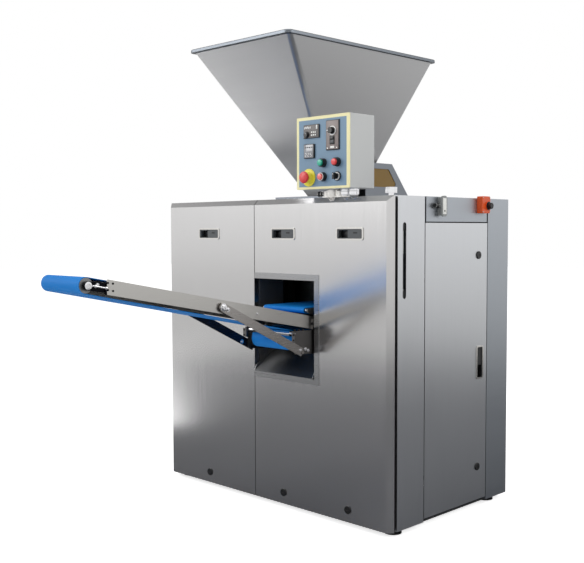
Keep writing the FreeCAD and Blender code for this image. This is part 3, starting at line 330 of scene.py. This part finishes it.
# Sight tube, clear with a soft haze
CLEAR = glassy("clear acrylic tube", "#B9BCB8", 0.1, 0.55)
# Oil standing in the tube: a dark glossy column
OIL = plain("dark oil", "#1E2226", 0.2)

# Belts: matt blue, with next to no highlight
BELT = belt_cloth("blue food-grade belting", "#007FD2", "#006FBE")

# Finish of each node, by finish
FINISH = (
    (STEEL_FRONT, ("left_panel", "right_panel")),
    (STEEL_SIDE, ("top_cover", "left_cover", "rear_cover", "gauge_cover", "side_door")),
    (STEEL_UPPER, ("side_panels",)),
    (STEEL_HOPPER, ("hopper",)),
    (STEEL_GUARD, ("neck_guard",)),
    (STEEL_FRAME_TRIM, ("outlet_surround",)),
    (STEEL_TRIM, ("control_post", "knife", "left_bezel", "right_bezels", "door_bezel")),
    (STEEL_CONVEYOR, ("conveyor_sides",)),
    (STEEL_BRACKET, ("drive_brackets",)),
    (STEEL_BAR, ("struts",)),
    (STEEL_PLATE, ("inner_bed",)),
    (STEEL_DULL, ("hopper_seat", "nose_roller", "chute", "ram", "knife_cylinder")),
    (CHROME, ("top_knob", "snub_roller", "drive_drum", "inner_drum")),
    (CAST_IRON, ("dough_box", "head_drum")),
    (FRAME_PAINT, ("frame",)),
    (MOTOR_PAINT, ("oil_tank", "gearmotor")),
    (BOX_PAINT, ("control_box",)),
    (PANEL_FACE, ("control_face",)),
    (BELT, ("outfeed_belt", "inner_belt")),
    (AMBER, ("guard_window",)),
    (CLEAR, ("gauge_tube",)),
    # latch_door is the front latches' dark grey pull plate, painted black as painted shade
    (BLACK_PLASTIC, ("levelling_feet", "gauge_fittings", "control_modules", "selector_knob", "speed_knob",
                     "orange_button", "latch_door", "left_lock", "right_locks", "door_locks")),
    (DARK_PLASTIC, ("latch_left", "latch_mid", "latch_right")),
    (GREY_PLASTIC, ("interlock_switch",)),
    (WHITE_PLASTIC, ("measuring_piston",)),
    (ORANGE, ("orange_box",)),
    (RED, ("estop_head", "stop_button")),
    (PINK, ("reset_button",)),
    (GREEN, ("start_button",)),
)


def dress_nodes():
    """Each node in its one finish."""
    for finish, names in FINISH:
        for name in names:
            piece = NODES[name]
            piece.data.materials.clear()
            piece.data.materials.append(finish)


# Modelling: every piece is drawn in millimetres from the cabinet's zero, and ends with its place in its mesh

def at(x, y, z):
    """A place given in millimetres from the cabinet's zero, in metres of the frame."""
    return (ZERO + Vector((x, y, z))) * MM


# Edges flatter than this many degrees are shaded smooth
SMOOTH = 35.0


def settle(name, finish, body):
    """Ends a piece: named, placed in its mesh, faces outwards, painted and riding its body."""
    piece = bpy.context.active_object
    piece.name = name
    piece.data.name = name
    bpy.ops.object.mode_set(mode="EDIT")
    bpy.ops.mesh.select_all(action="SELECT")
    bpy.ops.mesh.normals_make_consistent(inside=False)
    bpy.ops.object.mode_set(mode="OBJECT")
    bpy.ops.object.transform_apply(location=True, rotation=True, scale=True)
    bpy.ops.object.shade_smooth_by_angle(angle=math.radians(SMOOTH))
    piece.data.materials.append(finish)
    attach(piece, body)
    piece.select_set(False)
    return piece


def alone():
    """Leaves edit mode, with nothing selected."""
    if bpy.context.object is not None and bpy.context.object.mode != "OBJECT":
        bpy.ops.object.mode_set(mode="OBJECT")
    bpy.ops.object.select_all(action="DESELECT")


def block(name, finish, body, low, high, soft=0.5, segments=2):
    """A box between two corners with its edges softened."""
    alone()
    a, b = at(*low), at(*high)
    bpy.ops.mesh.primitive_cube_add(size=1.0, location=(a + b) / 2)
    bpy.ops.transform.resize(value=tuple(b - a))
    bpy.ops.object.transform_apply(location=False, rotation=False, scale=True)
    bpy.ops.object.mode_set(mode="EDIT")
    bpy.ops.mesh.select_all(action="SELECT")
    bpy.ops.mesh.bevel(offset=soft * MM, segments=segments, affect="EDGES")
    return settle(name, finish, body)


# Turns that lay a piece's axis along a direction; the last one points up the conveyor, at its slope in radians
BELT_SLOPE = 0.191
QUARTER = math.pi / 2
TOWARD = {
    "+x": (0, QUARTER, 0), "-x": (0, -QUARTER, 0), "+y": (-QUARTER, 0, 0), "-y": (QUARTER, 0, 0),
    "+z": (0, 0, 0), "-z": (math.pi, 0, 0), "up the belt": (QUARTER - BELT_SLOPE, 0, 0),
}


def turned(name, finish, body, place, toward, rings, sides=32):
    """A turned piece: rings of (radius, height) in millimetres, each drawn out of the one before."""
    alone()
    (radius, height), rest = rings[0], rings[1:]
    bpy.ops.mesh.primitive_circle_add(vertices=sides, radius=radius * MM, fill_type="NGON",
                                      location=(0, 0, height * MM))
    bpy.ops.object.mode_set(mode="EDIT")
    bpy.ops.mesh.select_all(action="SELECT")
    for wide, high in rest:
        bpy.ops.mesh.extrude_region_move(TRANSFORM_OT_translate={"value": (0, 0, (high - height) * MM)})
        bpy.ops.transform.resize(value=(wide / radius, wide / radius, 1.0), center_override=(0, 0, high * MM))
        radius, height = wide, high
    bpy.ops.object.mode_set(mode="OBJECT")
    piece = bpy.context.active_object
    piece.rotation_euler = TOWARD[toward]
    bpy.ops.object.transform_apply(location=True, rotation=True, scale=False)
    piece.location = at(*place)
    return settle(name, finish, body)


def bolt(name, finish, place, toward, radius, high, washer=0.0, sides=18):
    """A button-head bolt with its socket, on a washer where a radius is given for one."""
    foot = 1.2 if washer else 0.0
    rings = ((washer, 0), (washer, foot)) if washer else ()
    top = foot + high
    head = ((radius, foot), (radius, foot + high * 0.5), (radius * 0.75, top), (radius * 0.45, top),
            (radius * 0.42, foot + high * 0.5))
    return turned(name, finish, "cabinet", place, toward, rings + head, sides=sides)


def copies(piece, name, body, moves):
    """Copies of a piece with their own meshes, each moved by millimetres."""
    for k, move in enumerate(moves):
        twin = piece.copy()
        twin.data = piece.data.copy()
        twin.name = f"{name}_{k + 1}"
        twin.data.name = twin.name
        bpy.context.scene.collection.objects.link(twin)
        twin.data.transform(Matrix.Translation(Vector(move) * MM))
        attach(twin, body)


# Control panel, with its small turned forms as rings of radius and height in millimetres

TIMER_KNOB = ((11.5, 0), (11.5, 1.2), (9.6, 1.6), (9.0, 7.4), (8.2, 8.2), (5.0, 8.2))
TIMER_KEY = ((3.0, 0), (3.0, 1.6), (2.4, 2.2))
DIAL = ((15.5, 0), (15.5, 0.4), (14.8, 0.5))
PANEL_SCREW = ((2.6, 0), (2.6, 0.7), (1.6, 1.3))
BUTTON_COLLAR = ((15.2, 0), (15.2, 4.0), (14.4, 5.0), (14.0, 15.0), (13.2, 16.0), (11.4, 16.0), (11.3, 4.0),
                 (11.3, 1.0))
BUTTON_CAP = ((8.0, 0), (10.6, 0.0), (10.6, 7.2), (9.8, 8.4), (7.0, 8.9), (2.0, 9.0))
RESET_RING = ((13.4, 0), (13.4, 0.9), (12.6, 1.2), (11.5, 1.2), (11.4, 0))
SELECTOR_COLLAR = ((15.2, 0), (15.2, 4.0), (14.2, 5.0), (9.6, 5.0), (9.5, 1.0))
SELECTOR_RING = ((13.0, 0), (13.0, 0.4), (11.8, 0.6), (11.0, 0.6), (10.9, 0.1))
ESTOP_RING = ((30.0, 0), (30.0, 2.2), (29.2, 3.0), (19.0, 4.0), (17.5, 9.0), (13.2, 12.5), (9.6, 12.5),
              (9.5, 6.0))
SELECTOR_MARK = ((1.6, 0), (1.6, 0.3), (1.0, 0.4))

# How far the caps, the reset ring and the selector's ring start in front of the panel
CAP_OUT, RESET_RING_OUT, SELECTOR_RING_OUT = 13.1, 15.6, 4.9

# Digits on the temperature display: their text, first corner, spacing and height; then the row of its keys
SHOWN = "225"
DIGIT_X, DIGIT_Z, DIGIT_STEP, DIGIT_H = 240.0, 1237.5, 11.5, 11.0
KEY_X, KEY_STEP, KEYS = 239.0, 9.5, 4


def digit(name, finish, body, shown, x, y, z, high):
    """One seven-segment digit in relief, its lower left corner at x and z."""
    lit = {"2": "abged", "5": "afgcd"}[shown]
    wide, half, bar = high * 0.55, high / 2, high * 0.13
    bars = {
        "a": (0, high, wide, bar), "g": (0, half, wide, bar), "d": (0, 0, wide, bar),
        "f": (0, half, bar, half), "b": (wide, half, bar, half),
        "e": (0, 0, bar, half), "c": (wide, 0, bar, half),
    }
    for key in lit:
        dx, dz, w, h = bars[key]
        w, h = (w - bar, bar) if h == bar else (bar, h - bar)
        x0 = x + dx + (bar / 2 if w > h else -bar / 2)
        z0 = z + dz + (-bar / 2 if w > h else bar / 2)
        block(f"{name}_{key}", finish, body, (x0, y - 0.3, z0), (x0 + w, y + 0.2, z0 + h), 0.12, 1)


def instruments():
    """Timer, temperature display and speed controller: housings, front foils, knobs, keys and digits."""
    box = "control_box"
    y = PANEL_Y
    low, high = (230.5, y - 4.6, 1298.5), (302.5, y + 0.2, 1344)
    housing = block("timer_housing", BLACK_PLASTIC, box, low, high, 1.2)
    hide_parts("control_modules")
    block("timer_foil", TIMER_FACE, box, (232, y - 5.2, 1300), (301, y - 4.2, 1342.5), 0.3)
    turned("timer_knob", BLACK_PLASTIC, box, (246.5, y - 5, 1311), "-y", TIMER_KNOB, sides=20)
    block("timer_pointer", MARK, box, (245.8, y - 13.6, 1312), (247.2, y - 13.0, 1319), 0.2, 1)
    tick = block("timer_tick_1", MARK, box, (235, y - 5.5, 1330), (238, y - 5.0, 1337), 0.15, 1)
    copies(tick, "timer_mark", box, ((5, 0, 1.5), (10, 0, 1.0), (15, 0, 2.0), (20, 0, 0), (26, 0, 1.0)))
    key = turned("timer_key", WHITE_PLASTIC, box, (270, y - 5, 1318), "-y", TIMER_KEY, sides=16)
    copies(key, "timer_keys", box, ((8.5, 0, 0), (17, 0, 0), (0, 0, -9.5), (8.5, 0, -9.5), (17, 0, -9.5)))
    block("timer_switch", WHITE_PLASTIC, box, (291, y - 7.5, 1327), (297, y - 5, 1341), 0.8)
    block("display_housing", BLACK_PLASTIC, box, (232.5, y - 6, 1231), (280.5, y + 0.2, 1279), 1.2)
    block("display_screen", SCREEN, box, (234.5, y - 6.5, 1233), (277, y - 5.6, 1277), 0.3)
    for k, shown in enumerate(SHOWN):
        digit(f"display_digit{k + 1}", MARK, box, shown, DIGIT_X + DIGIT_STEP * k, y - 6.5, DIGIT_Z, DIGIT_H)
    for k in range(KEYS):
        x = KEY_X + KEY_STEP * k
        block(f"display_key_{k + 1}", DARK_PLASTIC, box, (x, y - 7.0, 1266), (x + 6, y - 6.3, 1270), 0.3)
    block("speed_housing", BLACK_PLASTIC, box, (333, y - 3.4, 1253), (392.5, y + 0.2, 1352), 1.2)
    block("speed_foil", SPEED_FACE, box, (335, y - 4.0, 1256), (388.5, y - 3.0, 1350), 0.3)
    turned("speed_dial", MARK, box, (362.5, y - 4.1, 1317), "-y", DIAL, sides=48)
    block("rocker_frame", BLACK_PLASTIC, box, (351, y - 5.6, 1272), (373, y - 3.8, 1300), 0.8)
    block("rocker_upper", BLACK_PLASTIC, box, (354, y - 8.0, 1286), (370, y - 5.0, 1297), 0.9)
    block("rocker_lower", DARK_PLASTIC, box, (354, y - 6.8, 1275), (370, y - 5.0, 1286), 0.9)
    block("speed_tag", WHITE_PLASTIC, box, (353, y - 4.6, 1259), (371, y - 3.9, 1266), 0.3)
    for k, x in enumerate((341, 383)):
        turned(f"speed_screw_{k + 1}", STEEL_TRIM, box, (x, y - 4.0, 1260), "-y", PANEL_SCREW, sides=16)


def push_buttons():
    """Collars, lit caps and the yellow ring under the emergency stop."""
    box = "control_box"
    y = PANEL_Y
    left, middle, right = COLUMNS
    top, low = ROWS
    spots = {"start": (middle, top, GREEN), "stop": (right, top, RED), "reset": (middle, low, PINK)}
    for name, (x, z, finish) in spots.items():
        turned(f"{name}_collar", BLACK_PLASTIC, box, (x, y, z), "-y", BUTTON_COLLAR, sides=40)
        turned(f"{name}_cap", finish, f"{name}_button", (x, y - CAP_OUT, z), "-y", BUTTON_CAP, sides=40)
    turned("reset_ring", WHITE_PLASTIC, box, (middle, y - RESET_RING_OUT, low), "-y", RESET_RING, sides=40)
    turned("selector_collar", BLACK_PLASTIC, box, (right, y, low), "-y", SELECTOR_COLLAR, sides=40)
    turned("selector_ring", MARK, box, (right, y - SELECTOR_RING_OUT, low), "-y", SELECTOR_RING, sides=40)
    turned("estop_ring", YELLOW, box, (left, y, low), "-y", ESTOP_RING, sides=56)
    turned("selector_mark", MARK, "selector_knob", (right, y - 23.9, low + 6), "-y", SELECTOR_MARK, sides=16)
    block("speed_mark", MARK, "speed_knob", (350.2, y - 19.9, 1315.6), (356.5, y - 19.2, 1318.4), 0.2, 1)


# Latches: middles of the three in front and their height, and the middle of the one on the door

FRONT_LATCHES = {"left": -320.0, "mid": 87.0, "right": 403.0}
LATCH_Z = 976.0
DOOR_LATCH = (578.0, 508.0, 512.0)

# Pieces of a latch's pan, from the latch's middle: name, finish, low corner, high corner, softening. The strips
# end where the pull plate begins
PAN = (
    ("pan", BLACK_PLASTIC, (-54.0, 14.8, -15.6), (54.0, 16.2, 15.6), 0.4),
    ("pan_top", DARK_PLASTIC, (-53.6, -1.2, 12.2), (-12.0, 14.6, 15.4), 0.6),
    ("pan_low", DARK_PLASTIC, (-53.6, -1.2, -15.4), (-12.0, 14.6, -13.4), 0.6),
    ("pan_side", DARK_PLASTIC, (-54.0, -1.2, -15.2), (-49.0, 14.6, 15.2), 0.6),
    ("pan_end", BLACK_PLASTIC, (52.0, -1.4, -15.2), (54.2, 14.6, 15.2), 0.4),
)
# The door pan's strip is black where the same strip in front is dark grey: painted shade
DOOR_PAN = (
    ("pan", BLACK_PLASTIC, (-16.2, -15.6, -54.0), (-14.8, 15.6, 54.0), 0.4),
    ("pan_side", BLACK_PLASTIC, (-14.6, 12.4, -53.6), (1.2, 15.4, -12.0), 0.6),
)
PULL_MARK = (14.0, 0.6, 1.0), (32.0, 1.2, 6.0)


def pan(latch, body, middle, pieces):
    """The pan of one latch: its floor and the strips that line it."""
    middle = Vector(middle)
    for name, finish, low, high, soft in pieces:
        block(f"{latch}_{name}", finish, body, middle + Vector(low), middle + Vector(high), soft)


def latches():
    """The dark pan behind each pull plate, and the small mark on the three plates in front."""
    for name, x in FRONT_LATCHES.items():
        middle = Vector((x, 0.0, LATCH_Z))
        pan(name, "left_panel" if name == "left" else "right_panel", middle, PAN)
        low, high = (middle + Vector(corner) for corner in PULL_MARK)
        block(f"{name}_pull_mark", BLACK_PLASTIC, f"latch_{name}", low, high, 0.2, 1)
    pan("door", "side_door", DOOR_LATCH, DOOR_PAN)


# Side of the cabinet, behind it and under it

# Middle of the sight tube, the oil's bottom and depth in it, and the height of the white line on it
GAUGE_AT = (566.0, 70.0)
OIL_LOW, OIL_DEEP, LINE_Z = 783.0, 129.0, 791.6
# Middles of the feet, then the outer faces of the switch and the orange box, and the middle of the box's button
FEET = [(x, y) for x in (-532.0, 532.0) for y in (71.0, 620.0)]
SWITCH_X, ORANGE_X, BUTTON_AT = 599.0, 600.9, (519.0, 1073.0)
# Rear cover: its plane, its gland and the first of its three by three screws
REAR_Y = 691.0
REAR_GLAND = (-440.0, 130.0)
REAR_SCREW = (-540.0, 30.0)

OIL_COLUMN = ((6.7, 0), (6.7, OIL_DEEP - 0.6), (6.2, OIL_DEEP))
GAUGE_LINE = ((6.9, 0), (6.9, 1.8), (6.6, 2.0))
SWITCH_EYE = ((3.4, 0), (3.4, 0.6), (2.6, 0.9))
PLUG = ((8.9, 0), (8.9, 13.6), (7.6, 15.9), (3.0, 16.1))
ORANGE_COLLAR = ((15.3, 0), (15.3, 0.8), (14.4, 1.6), (11.9, 1.6), (11.8, 0))
GLAND_CAP = ((18.5, 0), (18.5, 8.1), (15.6, 8.3), (12.7, 23.7), (6.4, 23.8), (6.2, 12))
LEVER_KNOB = ((6.5, 0), (9.4, 2.4), (9.9, 12), (8.6, 16.2), (3.0, 17.2))
BOX_GLAND = ((17.0, 0), (17.0, 7.4), (15.8, 8.2), (16.9, 9.0), (16.9, 19.2), (13.4, 20.4), (13.4, 22.8),
             (9.0, 22.9))
FOOT_NUT = ((15.5, 0), (15.5, 2.8), (14.4, 3.3))


def side_parts():
    """Oil in the gauge, the door switch's shield and plug, and the orange box's screws and collar."""
    x, y = GAUGE_AT
    turned("gauge_oil", OIL, "cabinet", (x, y, OIL_LOW), "+z", OIL_COLUMN, sides=28)
    turned("gauge_line", MARK, "cabinet", (x, y, LINE_Z), "+z", GAUGE_LINE, sides=28)
    x = SWITCH_X
    block("interlock_shield", GREY_PLASTIC, "cabinet", (x - 1.4, 249.5, 1038), (x - 0.3, 273.5, 1098), 0.5)
    block("interlock_plate", WHITE_PLASTIC, "cabinet", (x - 0.7, 252, 1041), (x + 0.2, 271, 1095), 0.4)
    turned("interlock_eye", BLACK_PLASTIC, "cabinet", (x, 261.5, 1052), "+x", SWITCH_EYE, sides=20)
    turned("interlock_plug", BLACK_PLASTIC, "cabinet", (587, 236.8, 1070), "-y", PLUG, sides=24)
    for k, (y, z) in enumerate(((489.5, 1102.5), (531.5, 1051.5), (489.5, 1051.5), (531.5, 1102.5))):
        bolt(f"orange_screw_{k + 1}", STEEL_TRIM, (ORANGE_X, y, z), "+x", 2.4, 1.4, sides=16)
    turned("orange_collar", BLACK_PLASTIC, "cabinet", (604.9,) + BUTTON_AT, "+x", ORANGE_COLLAR, sides=36)


def small_fittings():
    """Rear gland's cap, post lever's knob, glands under the control box, nuts on the feet and rear screws."""
    x, z = REAR_GLAND
    turned("rear_gland_cap", BLACK_PLASTIC, "cabinet", (x, REAR_Y + 0.1, z), "+y", GLAND_CAP, sides=28)
    turned("post_lever_knob", BLACK_PLASTIC, "cabinet", (250.4, 30, 1113), "-x", LEVER_KNOB, sides=28)
    for k, x in enumerate((362, 399)):
        turned(f"box_gland_{k + 1}", CHROME, "control_box", (x, 26, 1126.9), "-z", BOX_GLAND, sides=24)
    first_x, first_y = FEET[0]
    nut = turned("foot_nut_1", STEEL_DULL, "cabinet", (first_x, first_y, -11.4), "+z", FOOT_NUT, sides=6)
    copies(nut, "foot_nuts", "cabinet", [(x - first_x, y - first_y, 0) for x, y in FEET[1:]])
    x, z = REAR_SCREW
    screw = bolt("rear_screw_1", STEEL_TRIM, (x, REAR_Y - 0.1, z), "+y", 4.6, 2.6, washer=7.5)
    others = [(dx, 0, dz) for dx in (0, 540, 1080) for dz in (0, 520, 1040) if dx or dz]
    copies(screw, "rear_screws", "cabinet", others)


# Outfeed conveyor: each side's name and the way it faces, then the outer faces of its nose arm, plate and
# strut, and the middle of its bracket's flange
CONVEYOR_SIDES = (
    ("near", "+x", 224.2, 226.9, 236.9, 235.5),
    ("far", "-x", -0.2, -2.9, -12.9, -14.5),
)
# Top edges of the two brackets, as the middle of their plates
BRACKET_TOPS = (230.0, -6.0)

NOSE_WASHER = ((11.4, 0), (11.4, 1.0), (6.6, 1.4), (6.5, 0.2))
NOSE_SCREW = ((6.0, 0), (6.0, 5.0), (3.0, 5.4), (3.0, 34.0), (5.4, 34.4), (5.4, 40.0), (2.8, 40.6),
              (2.6, 46.0))
PIVOT_WASHER = ((12.6, 0), (12.6, 1.6), (10.0, 1.8), (10.0, 3.4), (7.8, 8.0), (3.4, 8.2), (3.2, 4.0))

# Middles, in y and z, of the bolts in each plate's end, of the nose roller and of the struts' upper pivots
PLATE_BOLTS = ((-833, 841), (-816, 838.5), (-833, 821), (-816, 817.5))
NOSE_AT = (-895.5, 835.5)
PIVOT_AT = (-411, 746)
FLANGE_Y, FLANGE_BOLTS = -96.9, (615, 633)
BRACKET_BOLTS = ((-86, 644.8), (-66, 644.4), (-46, 644.0))

# Single bolts, all facing the near side: name, finish, place, radius, height and washer
SINGLE_BOLTS = (
    ("strut_bolt_near", CHROME, (236.9, -393, 738), 5.0, 5.0, 7.4),
    ("strut_foot_bolt_1", CHROME, (236.9, -66, 579), 4.2, 3.6, 6.2),
    ("strut_foot_bolt_2", CHROME, (232.9, -38, 580), 4.2, 3.6, 6.2),
    ("strut_foot_bolt_3", CHROME, (232.9, -24, 574), 4.2, 3.6, 6.2),
    ("strut_bolt_far", CHROME, (-9.1, -114, 592), 4.4, 3.4, 8.0),
    ("plate_screw", CHROME, (226.9, -258, 716), 3.0, 2.4, 4.4),
    ("plate_end_bolt", BLACK_STEEL, (226.9, 2, 664), 4.0, 3.0, 5.6),
)


def conveyor_parts():
    """Bolts, washers and the tension screw of the outfeed conveyor."""
    for side, toward, arm, plate, strut, flange in CONVEYOR_SIDES:
        out = 1 if toward == "+x" else -1
        mark = "" if side == "near" else "far_"
        for k, (y, z) in enumerate(PLATE_BOLTS):
            bolt(f"plate_bolt_{mark}{k + 1}", BLACK_STEEL, (plate, y, z), toward, 3.2, 2.6)
        turned(f"nose_washer_{side}", CHROME, "cabinet", (arm,) + NOSE_AT, toward, NOSE_WASHER)
        screw_at = (arm + 3.0 * out, -838.5, 826.4)
        turned(f"nose_screw_{side}", CHROME, "cabinet", screw_at, "up the belt", NOSE_SCREW, sides=12)
        bolt(f"nose_bolt_{side}", CHROME, (arm, -866, 836.4), toward, 3.4, 3.0, washer=5.4)
        turned(f"strut_washer_{side}", CHROME, "cabinet", (strut,) + PIVOT_AT, toward, PIVOT_WASHER, sides=28)
        for k, z in enumerate(FLANGE_BOLTS):
            bolt(f"flange_bolt_{side}_{k + 1}", BLACK_STEEL, (flange, FLANGE_Y, z), "-y", 3.0, 2.6)
    for name, finish, place, radius, high, washer in SINGLE_BOLTS:
        bolt(name, finish, place, "+x", radius, high, washer=washer)
    block("bracket_tab", STEEL_TRIM, "cabinet", (232.6, -85.5, 566.5), (236.2, -76, 579), 0.6)
    for x, mark in zip(BRACKET_TOPS, ("", "far_")):
        for k, (y, z) in enumerate(BRACKET_BOLTS):
            bolt(f"bracket_bolt_{mark}{k + 1}", BLACK_STEEL, (x, y, z), "+z", 4.2, 6.0)


# Studio

def studio():
    """A pale floor with two cards on it for the steel to reflect, a white surround and the softboxes."""
    scene = bpy.context.scene
    scene.view_settings.view_transform = "Standard"
    bpy.ops.object.select_all(action="DESELECT")
    for name, place, size, turn, colour, own_light, in_metal in STAGE:
        bpy.ops.mesh.primitive_plane_add(size=1.0, location=place)
        bpy.ops.transform.resize(value=(size[0], size[1], 1.0))
        bpy.ops.object.transform_apply(location=False, rotation=False, scale=True)
        sheet = bpy.context.active_object
        sheet.rotation_euler.z = math.radians(turn)
        sheet.name = name
        mat, tree, shader = material(name + " paint")
        where = add(tree, "ShaderNodeTexCoord")
        cloud = add(tree, "ShaderNodeTexNoise", Vector=where.outputs["Object"], Scale=1.5)
        level = add(tree, "ShaderNodeMapRange", Value=cloud.outputs["Fac"], i3=0.85, i4=0.95)
        tree.links.new(level.outputs[0], shader.inputs["Roughness"])
        shader.inputs["Base Color"].default_value = rgb(colour)
        shader.inputs["Specular IOR Level"].default_value = 0.0
        path = add(tree, "ShaderNodeLightPath")
        seen = add(tree, "ShaderNodeMath", {"operation": "MAXIMUM"}, i0=path.outputs["Is Camera Ray"],
                   i1=path.outputs["Is Transmission Ray"])
        seen = add(tree, "ShaderNodeMath", {"operation": "MULTIPLY_ADD"}, i0=path.outputs["Is Glossy Ray"],
                   i1=in_metal, i2=seen.outputs[0])
        glow = add(tree, "ShaderNodeMath", {"operation": "MULTIPLY"}, i0=seen.outputs[0], i1=own_light)
        shader.inputs["Emission Color"].default_value = (1.0, 1.0, 1.0, 1.0)
        tree.links.new(glow.outputs[0], shader.inputs["Emission Strength"])
        sheet.data.materials.append(mat)
        if name != "floor":
            for ray in ("camera", "diffuse", "shadow", "transmission"):
                setattr(sheet, f"visible_{ray}", False)

    world = bpy.data.worlds.new("studio")
    scene.world = world
    world.use_nodes = True
    tree = world.node_tree
    back = tree.nodes["Background"]
    back.inputs["Color"].default_value = (1.0, 1.0, 1.0, 1.0)
    ray = add(tree, "ShaderNodeLightPath")
    seen = add(tree, "ShaderNodeMath", {"operation": "MAXIMUM"}, i0=ray.outputs["Is Camera Ray"],
               i1=ray.outputs["Is Glossy Ray"])
    seen = add(tree, "ShaderNodeMath", {"operation": "MAXIMUM"}, i0=seen.outputs[0],
               i1=ray.outputs["Is Transmission Ray"])
    place = add(tree, "ShaderNodeTexCoord")
    height = add(tree, "ShaderNodeSeparateXYZ", Vector=place.outputs["Generated"])
    dome = add(tree, "ShaderNodeMapRange", Value=height.outputs["Z"], i1=SKY_WHITE, i2=SKY_DIM, i3=1.0,
               i4=SKY_TOP)
    strength = add(tree, "ShaderNodeMix", Factor=seen.outputs[0], i2=AMBIENT, i3=dome.outputs[0])
    tree.links.new(strength.outputs[0], back.inputs["Strength"])

    for name, place, aim, size, power in LAMPS:
        data = bpy.data.lights.new(name, "AREA")
        data.shape = "RECTANGLE"
        data.size, data.size_y = size
        data.energy = power
        light = bpy.data.objects.new(name, data)
        scene.collection.objects.link(light)
        light.location = place
        light.rotation_euler = (Vector(aim) - Vector(place)).to_track_quat("-Z", "Y").to_euler()
        light.visible_camera = False


camera()
studio()
dress_nodes()
instruments()
push_buttons()
latches()
side_parts()
small_fittings()
conveyor_parts()
